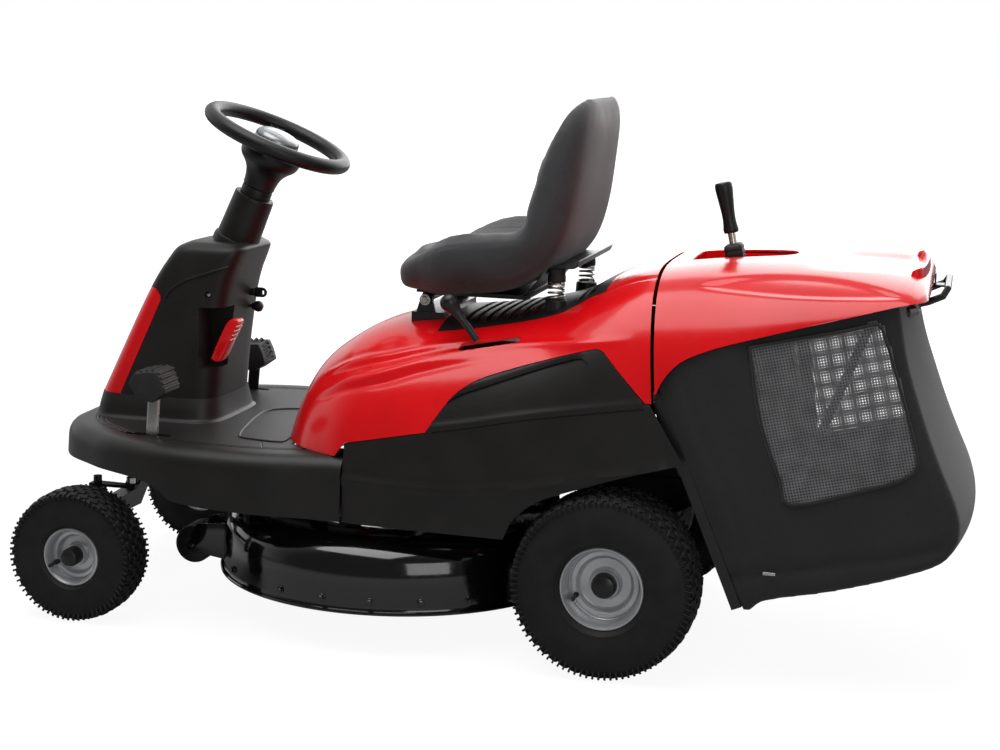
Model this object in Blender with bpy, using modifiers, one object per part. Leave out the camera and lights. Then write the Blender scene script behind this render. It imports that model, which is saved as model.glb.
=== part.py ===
"""Riding lawn mower with a rear grass collector, built as an assembly of separate pieces.

The frame is metric with +Z up. Pieces are drawn from the rear axle: x runs rearward, y runs to the
machine's right and z rises from the ground. An empty at the rear axle carries every piece.
"""
from math import atan2, cos, hypot, pi, radians, sin

import bmesh
import bpy
from mathutils import Matrix, Vector

# Placing of the rear axle, so that the origin lies under the middle of the machine
REAR_AXLE_X = 0.286
GAP = 0.0003

# Wheels
REAR_R = 0.184
REAR_W = 0.150
REAR_Y = 0.320
REAR_RIM_R = 0.083
FRONT_R = 0.140
FRONT_W = 0.100
FRONT_Y = 0.332
FRONT_RIM_R = 0.062
LUG = 0.006
AXLE_SHAFT_R = 0.0125
STUB_R = 0.0095

# Chassis
RAIL_IN = 0.135
RAIL_OUT = 0.150
RAIL_Z0 = 0.318
RAIL_Z1 = 0.358
PLATE_T = 0.005
ENGINE_X = -0.220
MOUTH_SLOPE = 0.427
REAR_PLATE_X = 0.072
REAR_PLATE_Z = 0.540
REAR_PLATE_T = 0.004

# Steering
COLUMN_TILT = radians(22.7)
COLUMN_FOOT = (-1.080, 0.0, 0.360)
SHAFT_R = 0.010
BORE_PLAY = 0.0005
MODULE = 0.004
PINION_TEETH = 16
SECTOR_TEETH = 48
STEER_ARM = 0.080
WHEEL_W = 0.695
FRONT_AXLE_X = -1.123
RAIL_FRONT = FRONT_AXLE_X - 0.037
KINGPIN_Y = 0.245
KINGPIN_R = 0.009
TIE_Z = 0.283
AXLE_PIVOT_Z = 0.283

# Cutting deck and its lift
DECK_X = -0.520
DECK_R = 0.385
DECK_TOP = 0.232
DECK_T = 0.003
LIFT_Z = 0.300
LIFT_FRONT_X = -0.800
LIFT_REAR_X = -0.460
LIFT_ARM = 0.130
LIFT_REST = radians(11.0)
LIFT_R = 0.008
LEVER_X = -0.190
LEVER_Z = 0.510
LEVER_Y = -0.262
CRANK = 0.060

# Body shell, footplate, console
SKIN = 0.004
SHELL_FOOT = 0.255
FLOOR_Z = 0.392
CONSOLE_FOOT = 0.442
PEDAL_Y = 0.278
PEDAL_X = -0.985
PEDAL_Z = 0.338
PEDAL_PIN_R = 0.008

# Seat
SEAT_PIVOT = (-0.435, 0.0, 0.690)
SPRING_X = -0.157
SPRING_Y = 0.150

# Grass collector
TIP_PIVOT = (0.120, 0.0, 0.735)
COLLECTOR_HALF = 0.335
FRAME_TUBE = 0.010
FRAME_Y = 0.250

# Paints: colour, roughness, metallic
RED = ("E0151B", 0.28, 0.0)
CHARCOAL = ("2D2B2A", 0.55, 0.0)
BLACK_PAINT = ("131314", 0.30, 0.1)
STEEL = ("B9BABB", 0.35, 0.9)
SILVER = ("C9CACB", 0.38, 0.7)
RUBBER = ("1B1B1C", 0.85, 0.0)
VINYL = ("45464A", 0.55, 0.0)
FABRIC = ("1D1D1F", 0.90, 0.0)
CAST = ("6A6C6E", 0.60, 0.6)
GREY_PLASTIC = ("8E9092", 0.40, 0.0)

for old in list(bpy.data.objects):
    bpy.data.objects.remove(old, do_unlink=True)

parts = bpy.data.collections.new("riding_mower")
tools = bpy.data.collections.new("riding_mower_cutters")
for group in (parts, tools):
    bpy.context.scene.collection.children.link(group)


def empty(name, location, parent=None, tilt=0.0):
    """An axis empty: a joint's place, or the datum that carries everything."""
    obj = bpy.data.objects.new(name, None)
    obj.empty_display_size = 0.05
    parts.objects.link(obj)
    obj.parent = parent
    obj.location = location
    obj.rotation_euler = (0.0, tilt, 0.0)
    bpy.context.view_layer.update()
    return obj


datum = empty("rear_axle_datum", (REAR_AXLE_X, 0.0, 0.0))
column = empty("steering_axis", COLUMN_FOOT, datum, COLUMN_TILT)


def add(name, mesh, parent=None):
    obj = bpy.data.objects.new(name, mesh)
    parts.objects.link(obj)
    obj.parent = parent or datum
    return obj


def from_bmesh(name, bm, parent=None):
    mesh = bpy.data.meshes.new(name)
    bmesh.ops.recalc_face_normals(bm, faces=bm.faces)
    bm.to_mesh(mesh)
    bm.free()
    return add(name, mesh, parent)


def box(name, low, high, parent=None):
    bm = bmesh.new()
    bmesh.ops.create_cube(bm, size=1.0)
    bmesh.ops.scale(bm, vec=[b - a for a, b in zip(low, high)], verts=bm.verts)
    bmesh.ops.translate(bm, vec=[(a + b) / 2 for a, b in zip(low, high)], verts=bm.verts)
    return from_bmesh(name, bm, parent)


def rod(name, start, end, radius, sides=12, radius_end=None, parent=None):
    """A cylinder or a cone between two points."""
    start = Vector(start)
    span = Vector(end) - start
    turn = span.to_track_quat("Z", "Y").to_matrix().to_4x4()
    place = Matrix.Translation(start + span / 2) @ turn
    bm = bmesh.new()
    bmesh.ops.create_cone(bm, cap_ends=True, segments=sides, radius1=radius,
                          radius2=radius if radius_end is None else radius_end,
                          depth=span.length, matrix=place)
    return from_bmesh(name, bm, parent)


def turned(name, profile, sides, closed=False, parent=None):
    """A profile of (radius, height) pairs turned about the object's Z axis by a Screw modifier."""
    bm = bmesh.new()
    points = [bm.verts.new((radius, 0.0, height)) for radius, height in profile]
    for first, second in zip(points, points[1:]):
        bm.edges.new((first, second))
    if closed:
        bm.edges.new((points[-1], points[0]))
    mesh = bpy.data.meshes.new(name)
    bm.to_mesh(mesh)
    bm.free()
    obj = add(name, mesh, parent)
    screw = obj.modifiers.new("turn", "SCREW")
    screw.axis = "Z"
    screw.steps = sides
    screw.render_steps = sides
    screw.use_merge_vertices = True
    screw.merge_threshold = 0.00005
    screw.use_smooth_shade = True
    return obj


def solid_from(curve_object):
    """The curve's evaluated shape as a welded mesh object that takes its name and place."""
    bpy.context.view_layer.update()
    graph = bpy.context.evaluated_depsgraph_get()
    mesh = bpy.data.meshes.new_from_object(curve_object.evaluated_get(graph))
    bm = bmesh.new()
    bm.from_mesh(mesh)
    bmesh.ops.remove_doubles(bm, verts=bm.verts, dist=0.00001)
    bmesh.ops.dissolve_limit(bm, angle_limit=radians(0.05), verts=bm.verts, edges=bm.edges)
    bmesh.ops.recalc_face_normals(bm, faces=bm.faces)
    bm.to_mesh(mesh)
    bm.free()
    name = curve_object.name
    parent = curve_object.parent
    place = curve_object.matrix_world.copy()
    bpy.data.objects.remove(curve_object, do_unlink=True)
    solid = add(name, mesh, parent)
    solid.matrix_world = place
    return solid


def curve_object(name, loops, dimensions, cyclic, parent):
    curve = bpy.data.curves.new(name, "CURVE")
    curve.dimensions = dimensions
    for loop in loops:
        spline = curve.splines.new("POLY")
        spline.points.add(len(loop) - 1)
        for point, place in zip(spline.points, loop):
            point.co = (place[0], place[1], place[2] if len(place) > 2 else 0.0, 1.0)
        spline.use_cyclic_u = cyclic
    return curve, add(name, curve, parent)


def tube(name, points, radius, cyclic=False, resolution=2, parent=None):
    curve, obj = curve_object(name, [points], "3D", cyclic, parent)
    curve.bevel_depth = radius
    curve.bevel_resolution = resolution
    curve.use_fill_caps = True
    return solid_from(obj)


def plate(name, loops, thickness, plane, parent=None):
    """A flat outline (the further loops are holes) of a thickness, in a given plane."""
    curve, obj = curve_object(name, loops, "2D", True, parent)
    curve.fill_mode = "BOTH"
    curve.extrude = thickness / 2
    obj.matrix_local = plane
    return solid_from(obj)


def plane_of(across, up, origin):
    across = Vector(across).normalized()
    up = Vector(up).normalized()
    place = Matrix((across, up, across.cross(up))).transposed().to_4x4()
    place.translation = origin
    return place


def side_plane(y):
    return plane_of((1, 0, 0), (0, 0, 1), (0.0, y, 0.0))


def cross_plane(x):
    return plane_of((0, 1, 0), (0, 0, 1), (x, 0.0, 0.0))


def level_plane(z):
    return Matrix.Translation((0.0, 0.0, z))


def circle(centre, radius, sides=12):
    turns = [2 * pi * (i + 0.5) / sides for i in range(sides)]
    return [(centre[0] + radius * cos(t), centre[1] + radius * sin(t)) for t in turns]


def stadium(first, second, radius, radius_end=None, steps=4):
    """Outline of a link: a round end about each of two points."""
    radius_end = radius if radius_end is None else radius_end
    lean = atan2(second[1] - first[1], second[0] - first[0])
    points = []
    for centre, r, start in ((first, radius, lean + pi / 2), (second, radius_end, lean - pi / 2)):
        for i in range(steps + 1):
            turn = start + pi * i / steps
            points.append((centre[0] + r * cos(turn), centre[1] + r * sin(turn)))
    return points


def rectangle(x0, x1, y0, y1):
    return [(x0, y0), (x1, y0), (x1, y1), (x0, y1)]


def loft(name, rings, caps=True, ring_closed=True, parent=None):
    """Quads between sections of equal point count, with the end sections filled."""
    bm = bmesh.new()
    rows = [[bm.verts.new(p) for p in ring] for ring in rings]
    count = len(rows[0])
    for first, second in zip(rows, rows[1:]):
        for i in range(count if ring_closed else count - 1):
            j = (i + 1) % count
            bm.faces.new((first[i], first[j], second[j], second[i]))
    if caps:
        bm.faces.new(rows[0])
        bm.faces.new(rows[-1])
    return from_bmesh(name, bm, parent)


def ring_loft(name, rings, parent=None):
    """Sections joined right round into a torus-like body."""
    bm = bmesh.new()
    rows = [[bm.verts.new(p) for p in ring] for ring in rings]
    count = len(rows[0])
    for i, first in enumerate(rows):
        second = rows[(i + 1) % len(rows)]
        for j in range(count):
            k = (j + 1) % count
            bm.faces.new((first[j], first[k], second[k], second[j]))
    return from_bmesh(name, bm, parent)


def combine(obj, operation, others):
    for other in others:
        step = obj.modifiers.new(operation.lower(), "BOOLEAN")
        step.operation = operation
        step.solver = "EXACT"
        step.object = other
        other.hide_render = True
        other.display_type = "WIRE"
        if other.name in parts.objects:
            parts.objects.unlink(other)
            tools.objects.link(other)
    return obj


def cut(obj, *others):
    return combine(obj, "DIFFERENCE", others)


def unite(obj, *others):
    return combine(obj, "UNION", others)


def keep(obj, other):
    return combine(obj, "INTERSECT", [other])


def soften(obj, width, segments=1, angle=40.0):
    bevel = obj.modifiers.new("soften", "BEVEL")
    bevel.width = width
    bevel.segments = segments
    bevel.limit_method = "ANGLE"
    bevel.angle_limit = radians(angle)
    return obj


def thicken(obj, thickness, offset=-1.0):
    shell = obj.modifiers.new("shell", "SOLIDIFY")
    shell.thickness = thickness
    shell.offset = offset
    shell.use_even_offset = True
    return obj


def mirrored(obj):
    """Both halves of a half that ends at the machine's middle plane."""
    both = obj.modifiers.new("both_sides", "MIRROR")
    both.use_axis = (False, True, False)
    both.use_clip = True
    both.merge_threshold = 0.0001
    return obj


def hinge(name, place):
    return empty(name, place, datum)


def ride(obj, axis):
    """Carry a piece on a joint's empty without moving it."""
    obj.parent = axis
    obj.location = Vector(obj.location) - axis.location
    return obj


def linear(code):
    values = [int(code[i:i + 2], 16) / 255 for i in (0, 2, 4)]
    return [v / 12.92 if v <= 0.04045 else ((v + 0.055) / 1.055) ** 2.4 for v in values]


def finish(obj, paint, angle=35.0):
    colour, roughness, metallic = paint
    material = bpy.data.materials.new(obj.name)
    material.use_nodes = True
    shader = material.node_tree.nodes["Principled BSDF"]
    shader.inputs["Base Color"].default_value = (*linear(colour), 1.0)
    shader.inputs["Roughness"].default_value = roughness
    shader.inputs["Metallic"].default_value = metallic
    obj.data.materials.clear()
    obj.data.materials.append(material)
    if obj.data.polygons:
        obj.data.shade_smooth()
        obj.data.set_sharp_from_angle(angle=radians(angle))
    return obj


def inset(points, distance):
    """A closed outline moved inward (outline given anticlockwise)."""
    moved = []
    for i, here in enumerate(points):
        before = Vector(points[i - 1])
        here = Vector(here)
        after = Vector(points[(i + 1) % len(points)])
        first = (here - before).normalized()
        second = (after - here).normalized()
        normal = Vector((-first.y - second.y, first.x + second.x)).normalized()
        lean = max(0.5, normal.dot(Vector((-first.y, first.x))))
        moved.append(here + normal * distance / lean)
    return [(p.x, p.y) for p in moved]


def rounded_section(x0, x1, half, z, power=5.0, count=16):
    """A horizontal section between two x limits with a half width: a rounded rectangle."""
    points = []
    for i in range(count):
        turn = 2 * pi * (i + 0.5) / count
        along = abs(cos(turn)) ** (2 / power) * (1 if cos(turn) > 0 else -1)
        across = abs(sin(turn)) ** (2 / power) * (1 if sin(turn) > 0 else -1)
        points.append(((x0 + x1) / 2 + along * (x1 - x0) / 2, across * half, z))
    return points


# Rear plate: a slanted steel plate parallel to the collector's mouth
REAR_ANGLE = atan2(MOUTH_SLOPE, 1.0)
SLANT_UP = Vector((-sin(REAR_ANGLE), 0.0, cos(REAR_ANGLE)))
SLANT_OUT = Vector((cos(REAR_ANGLE), 0.0, sin(REAR_ANGLE)))
SLANT_ORIGIN = Vector((REAR_PLATE_X, 0.0, REAR_PLATE_Z))


def on_slant(y, s, out=0.0):
    """A point of the rear plate's plane: y across, s up the slope, out behind it."""
    return SLANT_ORIGIN + SLANT_UP * s + SLANT_OUT * out + Vector((0.0, y, 0.0))


def slant_x(z, out=0.0):
    return REAR_PLATE_X - (z - REAR_PLATE_Z) * MOUTH_SLOPE + out / cos(REAR_ANGLE)


def slanted_plane(out):
    return plane_of((0, 1, 0), SLANT_UP, on_slant(0.0, 0.0, out))


# Frame rails, with lugs that carry the lift shafts
def frame_rail(name, side):
    end = -REAR_PLATE_T / 2 - GAP
    middle = side * (RAIL_IN + RAIL_OUT) / 2
    thick = RAIL_OUT - RAIL_IN
    outline = [(RAIL_FRONT, RAIL_Z1), (slant_x(RAIL_Z1, end), RAIL_Z1), (slant_x(RAIL_Z0, end), RAIL_Z0),
               (RAIL_FRONT, RAIL_Z0)]
    rail = plate(name, [outline], thick, side_plane(middle))
    for x in (LIFT_FRONT_X, LIFT_REAR_X):
        lug = [(x - 0.024, RAIL_Z0 + 0.010), (x - 0.014, LIFT_Z - 0.016), (x + 0.014, LIFT_Z - 0.016),
               (x + 0.024, RAIL_Z0 + 0.010)]
        unite(rail, plate("lift_lug", [lug], thick - 0.002, side_plane(middle)))
    for x in (LIFT_FRONT_X, LIFT_REAR_X):
        cut(rail, rod("lift_bore", (x, middle - 0.020, LIFT_Z), (x, middle + 0.020, LIFT_Z), LIFT_R + BORE_PLAY, 12))
    pin_end = side * (PEDAL_Y + 0.020)
    unite(rail, rod("pedal_pin", (PEDAL_X, middle, PEDAL_Z), (PEDAL_X, pin_end, PEDAL_Z), PEDAL_PIN_R, 12))
    return finish(rail, BLACK_PAINT)


frame_rail("frame_rail_left", -1)
frame_rail("frame_rail_right", 1)

# Discharge chute: a rectangular duct that rises from the deck's outlet to the collector's mouth
CHUTE_Y0 = -0.130
CHUTE_Y1 = -0.012
CHUTE_S0 = -0.240
CHUTE_S1 = -0.030
CHUTE_T = 0.003


def chute_body(name, inset, reach):
    y0, y1 = CHUTE_Y0 + inset, CHUTE_Y1 - inset
    rings = []
    for x, z0, z1 in ((-0.120 - reach, 0.100 - reach, 0.280 - reach), (0.0, 0.225, 0.400)):
        z0, z1 = z0 + inset, z1 - inset
        rings.append([(x, y0, z0), (x, y1, z0), (x, y1, z1), (x, y0, z1)])
    s0, s1 = CHUTE_S0 + inset, CHUTE_S1 - inset
    for out in (-0.012, 0.004 + reach):
        rings.append([on_slant(y, s, out) for y, s in ((y0, s0), (y1, s0), (y1, s1), (y0, s1))])
    return loft(name, rings)


chute = chute_body("discharge_chute", 0.0, 0.0)
cut(chute, chute_body("chute_tunnel", CHUTE_T, 0.010))
finish(chute, BLACK_PAINT)

# Rear plate with the window for the chute and two hanger arms with open hooks for the collector
HANGER_Y = 0.190
HANGER_T = 0.006
plate_low = (0.240 - REAR_PLATE_Z) / cos(REAR_ANGLE)
plate_mid = (0.400 - REAR_PLATE_Z) / cos(REAR_ANGLE)
rear_outline = [(-0.235, plate_low), (0.235, plate_low), (0.235, plate_mid), (0.300, plate_mid),
                (0.300, 0.0), (0.285, 0.015), (-0.285, 0.015), (-0.300, 0.0),
                (-0.300, plate_mid), (-0.235, plate_mid)]
window = rectangle(CHUTE_Y0 - GAP, CHUTE_Y1 + GAP, CHUTE_S0 - GAP, CHUTE_S1 + GAP)
rear_plate = plate("rear_plate", [rear_outline, window], REAR_PLATE_T, slanted_plane(0.0))


def hanger(name, side):
    px, pz = TIP_PIVOT[0], TIP_PIVOT[2]
    cup = FRAME_TUBE + GAP
    turns = [pi + pi * i / 8 for i in range(9)]
    hollow = [(px + cup * cos(t), pz + cup * sin(t)) for t in turns]
    outer = 0.022
    rim = [(px + outer * cos(t), pz + outer * sin(t)) for t in (0.0, -0.35 * pi)]
    outline = hollow + rim
    outline += [(px - 0.006, pz - 0.070), (0.100, 0.600), (slant_x(0.520), 0.520), (slant_x(0.520) - 0.040, 0.530),
                (0.068, 0.610), (px - 0.034, pz - 0.070), (px - outer, pz - 0.012), (px - outer, pz)]
    return plate(name, [outline], HANGER_T, side_plane(side * HANGER_Y))


unite(rear_plate, hanger("hanger_left", -1), hanger("hanger_right", 1))
finish(rear_plate, BLACK_PAINT)

# Engine platform on the rails, with the stand of the cutting-height lever
PLATFORM_Z = RAIL_Z1 + GAP
PLATFORM_TOP = PLATFORM_Z + PLATE_T
platform_outline = [(-0.600, -0.175), (-0.235, -0.190), (-0.235, -0.236), (-0.145, -0.236), (-0.145, -0.190),
                    (-0.100, -0.175), (-0.100, 0.175), (-0.120, 0.275), (-0.360, 0.275), (-0.360, 0.190),
                    (-0.600, 0.175)]
engine_plate = plate("engine_plate", [platform_outline, circle((ENGINE_X, 0.0), 0.020)], PLATE_T,
                     level_plane(PLATFORM_Z + PLATE_T / 2))
stand_foot = PLATFORM_Z + 0.002
stand = plate("lever_stand", [[(-0.232, stand_foot), (-0.148, stand_foot), (-0.172, LEVER_Z + 0.020),
                               (-0.208, LEVER_Z + 0.020)]], 0.006, side_plane(-0.228))
pivot_pin = rod("lever_pin", (LEVER_X, -0.228, LEVER_Z), (LEVER_X, LEVER_Y - 0.010, LEVER_Z), 0.008)
unite(engine_plate, stand, pivot_pin)
finish(engine_plate, BLACK_PAINT)

# Engine: crankcase, forward cylinder and blower housing
ENGINE_Z = PLATFORM_TOP + GAP
engine = soften(box("engine_block", (-0.330, -0.110, ENGINE_Z), (-0.110, 0.110, 0.520)), 0.012)
blower = rod("blower_housing", (ENGINE_X, 0.0, 0.500), (ENGINE_X, 0.0, 0.610), 0.130, 18, 0.118)
cylinder_head = box("cylinder_head", (-0.430, -0.060, 0.395), (-0.320, 0.060, 0.505))
muffler = rod("muffler", (-0.420, -0.142, 0.430), (-0.250, -0.142, 0.430), 0.036, 12)
unite(engine, blower, cylinder_head, muffler)
finish(engine, CAST)

tank = box("fuel_tank", (-0.335, 0.145, ENGINE_Z), (-0.145, 0.262, 0.585))
finish(soften(tank, 0.018, 2), ("D8D5CB", 0.5, 0.0))
battery = box("battery", (-0.585, -0.095, ENGINE_Z), (-0.475, 0.095, 0.530))
finish(soften(battery, 0.005), CHARCOAL)

# Transaxle: gear case, axle tubes and their brackets to the rails
case = soften(box("transaxle", (-0.070, 0.020, 0.120), (0.070, 0.130, 0.260)), 0.015)
axle_tube = rod("axle_tube", (0.0, -0.225, REAR_R), (0.0, 0.225, REAR_R), 0.024, 12)
brackets = [box("axle_bracket", (-0.032, side * 0.1425 - 0.006, REAR_R + 0.016),
                (0.032, side * 0.1425 + 0.006, RAIL_Z0 - GAP)) for side in (-1, 1)]
unite(case, axle_tube, *brackets)
cut(case, rod("axle_bore", (0.0, -0.300, REAR_R), (0.0, 0.300, REAR_R), AXLE_SHAFT_R + 0.0008, 14))
finish(case, CAST)


# Front bracket: two plates between the rails, a web and the pivot bolt of the front axle
BRACKET_PLATES = ((FRONT_AXLE_X - 0.024, FRONT_AXLE_X - 0.019), (FRONT_AXLE_X + 0.019, FRONT_AXLE_X + 0.024))
bracket_half = RAIL_IN - GAP
front_bracket = box("front_bracket", (BRACKET_PLATES[0][0], -0.100, 0.340), (BRACKET_PLATES[1][1], 0.100, 0.346))
for index, (x0, x1) in enumerate(BRACKET_PLATES):
    outline = [(-bracket_half, 0.352), (-bracket_half, 0.322), (-0.030, 0.262), (0.030, 0.262),
               (bracket_half, 0.322), (bracket_half, 0.352)]
    unite(front_bracket, plate("bracket_plate", [outline], x1 - x0, cross_plane((x0 + x1) / 2)))
unite(front_bracket, rod("pivot_bolt", (BRACKET_PLATES[0][0] - 0.008, 0.0, AXLE_PIVOT_Z),
                         (BRACKET_PLATES[1][1] + 0.008, 0.0, AXLE_PIVOT_Z), 0.008, 12))
finish(front_bracket, BLACK_PAINT)

# Front axle beam, cranked up to its pivot boss, with a kingpin boss at each end
axle_swing = hinge("front_axle_axis", (FRONT_AXLE_X, 0.0, AXLE_PIVOT_Z))
BOSS_LOW = 0.165
BOSS_HIGH = 0.262
BEAM_END = KINGPIN_Y - 0.003
beam_outline = [(-BEAM_END, 0.188), (-0.070, 0.184), (-0.030, 0.220), (0.030, 0.220), (0.070, 0.184),
                (BEAM_END, 0.188), (BEAM_END, 0.218), (0.085, 0.224), (0.045, 0.262), (0.020, 0.305),
                (-0.020, 0.305), (-0.045, 0.262), (-0.085, 0.224), (-BEAM_END, 0.218)]
front_axle = plate("front_axle", [beam_outline], 0.034, cross_plane(FRONT_AXLE_X))
bosses = [rod("kingpin_boss", (FRONT_AXLE_X, side * KINGPIN_Y, BOSS_LOW), (FRONT_AXLE_X, side * KINGPIN_Y, BOSS_HIGH),
              0.0185, 12) for side in (-1, 1)]
unite(front_axle, *bosses)
cut(front_axle, rod("pivot_bore", (FRONT_AXLE_X - 0.050, 0.0, AXLE_PIVOT_Z), (FRONT_AXLE_X + 0.050, 0.0, AXLE_PIVOT_Z),
                    0.008 + BORE_PLAY, 12))
for side in (-1, 1):
    cut(front_axle, rod("kingpin_bore", (FRONT_AXLE_X, side * KINGPIN_Y, 0.100),
                        (FRONT_AXLE_X, side * KINGPIN_Y, 0.300), KINGPIN_R + BORE_PLAY, 12))
finish(ride(front_axle, axle_swing), BLACK_PAINT)


# Spindles: kingpin, stub axle and rearward steering arm with a stud for the tie rod
def spindle(name, side):
    axis = hinge(name + "_axis", (FRONT_AXLE_X, side * KINGPIN_Y, TIE_Z))
    y = side * KINGPIN_Y
    pin = rod(name, (FRONT_AXLE_X, y, 0.150), (FRONT_AXLE_X, y, 0.286), KINGPIN_R, 12)
    collar = rod("spindle_collar", (FRONT_AXLE_X, y, 0.124), (FRONT_AXLE_X, y, BOSS_LOW - BORE_PLAY), 0.0165, 12)
    stub = rod("stub_axle", (FRONT_AXLE_X, y, FRONT_R), (FRONT_AXLE_X, side * (FRONT_Y + 0.048), FRONT_R), STUB_R, 12)
    shoulder = rod("stub_shoulder", (FRONT_AXLE_X, y, FRONT_R), (FRONT_AXLE_X, side * (FRONT_Y - 0.0475), FRONT_R),
                   0.0125, 12)
    end_x = FRONT_AXLE_X + STEER_ARM
    arm_outline = [(FRONT_AXLE_X - 0.014, y - 0.014), (FRONT_AXLE_X + 0.014, y - 0.014), (end_x + 0.010, y - 0.010),
                   (end_x + 0.010, y + 0.010), (FRONT_AXLE_X + 0.014, y + 0.014), (FRONT_AXLE_X - 0.014, y + 0.014)]
    arm = plate("steering_arm", [arm_outline], 0.006, level_plane(0.2685))
    stud = rod("tie_stud", (end_x, y, 0.268), (end_x, y, TIE_Z + 0.010), 0.005, 10)
    unite(pin, collar, stub, shoulder, arm, stud)
    return finish(ride(pin, axis), STEEL)


spindle("spindle_left", -1)
spindle("spindle_right", 1)

# Tie rod: eyes on the arm studs and a slotted yoke in the middle for the sector's pin
tie_x = FRONT_AXLE_X + STEER_ARM
tie_axis = hinge("tie_rod_axis", (tie_x, -KINGPIN_Y, TIE_Z))
YOKE_BACK = 0.038
tie_rod = plate("tie_rod", [rectangle(tie_x - 0.036, tie_x + YOKE_BACK, -0.030, 0.030),
                            rectangle(tie_x - 0.0255, tie_x + 0.0272, -0.0075, 0.0075)], 0.005, level_plane(TIE_Z))
for side in (-1, 1):
    bar = rod("tie_bar", (tie_x, side * 0.024, TIE_Z), (tie_x, side * (KINGPIN_Y - 0.006), TIE_Z), 0.006, 10)
    eye = rod("tie_eye", (tie_x, side * KINGPIN_Y, TIE_Z - 0.0055), (tie_x, side * KINGPIN_Y, TIE_Z + 0.0055), 0.0125, 12)
    unite(tie_rod, bar, eye)
for side in (-1, 1):
    cut(tie_rod, rod("eye_bore", (tie_x, side * KINGPIN_Y, 0.250), (tie_x, side * KINGPIN_Y, 0.320),
                     0.005 + BORE_PLAY, 10))
finish(ride(tie_rod, tie_axis), STEEL)


# Steering gear: a pinion on the shaft meshes with a toothed sector
def gear_outline(teeth, first, last, reference):
    """Points round a gear from tooth first to tooth last, measured from a reference angle."""
    pitch = 2 * pi / teeth
    radius = MODULE * teeth / 2
    root = radius - 1.25 * MODULE
    crest = radius + 0.95 * MODULE
    levels = ((-0.26, root), (-0.11, crest), (0.11, crest), (0.26, root))
    points = []
    for tooth in range(first, last + 1):
        for part, r in levels:
            angle = reference + (tooth + part) * pitch
            points.append((r * cos(angle), r * sin(angle)))
    return points


PINION_R = MODULE * PINION_TEETH / 2
SECTOR_R = MODULE * SECTOR_TEETH / 2
SECTOR_U = PINION_R + SECTOR_R
PIN_U = SECTOR_U - STEER_ARM

steering_shaft = rod("steering_shaft", (0, 0, -0.012), (0, 0, 0.655), SHAFT_R, 12, parent=column)
pinion = plate("pinion", [gear_outline(PINION_TEETH, 0, PINION_TEETH - 1, 0.0)], 0.016, Matrix.Identity(4), column)
unite(steering_shaft, pinion)
finish(steering_shaft, STEEL)

sector_axis = empty("sector_axis", (SECTOR_U, 0.0, 0.0), column)
arc = gear_outline(SECTOR_TEETH, -7, 6, pi + pi / SECTOR_TEETH)
sector_outline = [(0.010, 0.019), (-0.020, 0.030)] + arc + [(-0.020, -0.030), (0.010, -0.019)]
sector = plate("steering_sector", [sector_outline], 0.008, Matrix.Identity(4), sector_axis)
hub = rod("sector_hub", (0, 0, -0.010), (0, 0, 0.010), 0.018, 12, parent=sector_axis)
follower = rod("sector_pin", (-STEER_ARM, 0, -0.002), (-STEER_ARM, 0, -0.080), 0.006, 12, parent=sector_axis)
unite(sector, hub, follower)
cut(sector, rod("sector_bore", (0, 0, -0.050), (0, 0, 0.050), SHAFT_R + BORE_PLAY, 12, parent=sector_axis))
finish(sector, STEEL)

# Steering bracket: a tilted plate between the rails with the shaft's bush and the sector's stud
bracket_outline = rectangle(-0.040, 0.170, -bracket_half, bracket_half)
steering_bracket = plate("steering_bracket", [bracket_outline], PLATE_T, Matrix.Translation((0, 0, 0.0165)), column)
bush = rod("shaft_bush", (0, 0, 0.015), (0, 0, 0.034), 0.018, 12, parent=column)
stud = rod("sector_stud", (SECTOR_U, 0, 0.016), (SECTOR_U, 0, -0.0125), SHAFT_R, 12, parent=column)
stud_head = rod("sector_stud_head", (SECTOR_U, 0, -0.0115), (SECTOR_U, 0, -0.017), 0.015, 12, parent=column)
unite(steering_bracket, bush, stud, stud_head)
cut(steering_bracket, rod("bush_bore", (0, 0, -0.020), (0, 0, 0.060), SHAFT_R + BORE_PLAY, 12, parent=column))
finish(steering_bracket, BLACK_PAINT)


# Wheels: each tyre is a ring of sections whose tread steps into blocks, each rim a turned dish
def tyre(name, axis, radius, width, bead, segments):
    half = width / 2
    crest = radius / cos(pi / segments)
    wall = bead + 0.48 * (radius - bead)
    seat_r = bead / cos(pi / segments)
    section = [(-0.80 * half, seat_r), (-half, wall), (-0.84 * half, None), (-0.40 * half, None), (0.0, None),
               (0.40 * half, None), (0.84 * half, None), (half, wall), (0.80 * half, seat_r)]
    crown = {2: 0.012, 3: 0.0, 4: 0.0, 5: 0.0, 6: 0.012}
    rings = []
    for i in range(segments):
        turn = 2 * pi * (i + 0.5) / segments
        ring = []
        for j, (y, r) in enumerate(section):
            if r is None:
                raised = ((i + 1) // 2 + j + 1 + segments // 4) % 2 == 1
                r = crest - crown[j] - (0.0 if raised else LUG)
            ring.append((r * sin(turn), y, r * cos(turn)))
        rings.append(ring)
    return finish(ring_loft(name, rings, axis), RUBBER, 30)


def rim_profile(half, bead, hub_r, dish, back, bore):
    """Closed profile in (radius, outward height): well, flanges, stepped dish and hub."""
    r = bead - GAP
    lip = r - 0.004
    return [(hub_r, dish + 0.016), (hub_r, dish + 0.004), (0.62 * r, dish),
            (0.66 * r, dish + 0.012), (0.82 * r, dish + 0.012), (lip - 0.002, 0.78 * half), (r, 0.80 * half),
            (r, -0.80 * half), (lip - 0.002, -0.78 * half), (lip - 0.002, dish + 0.002), (0.66 * r, dish + 0.006),
            (0.60 * r, dish - 0.006), (hub_r, dish - 0.006), (hub_r, back), (bore, back)]


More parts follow.
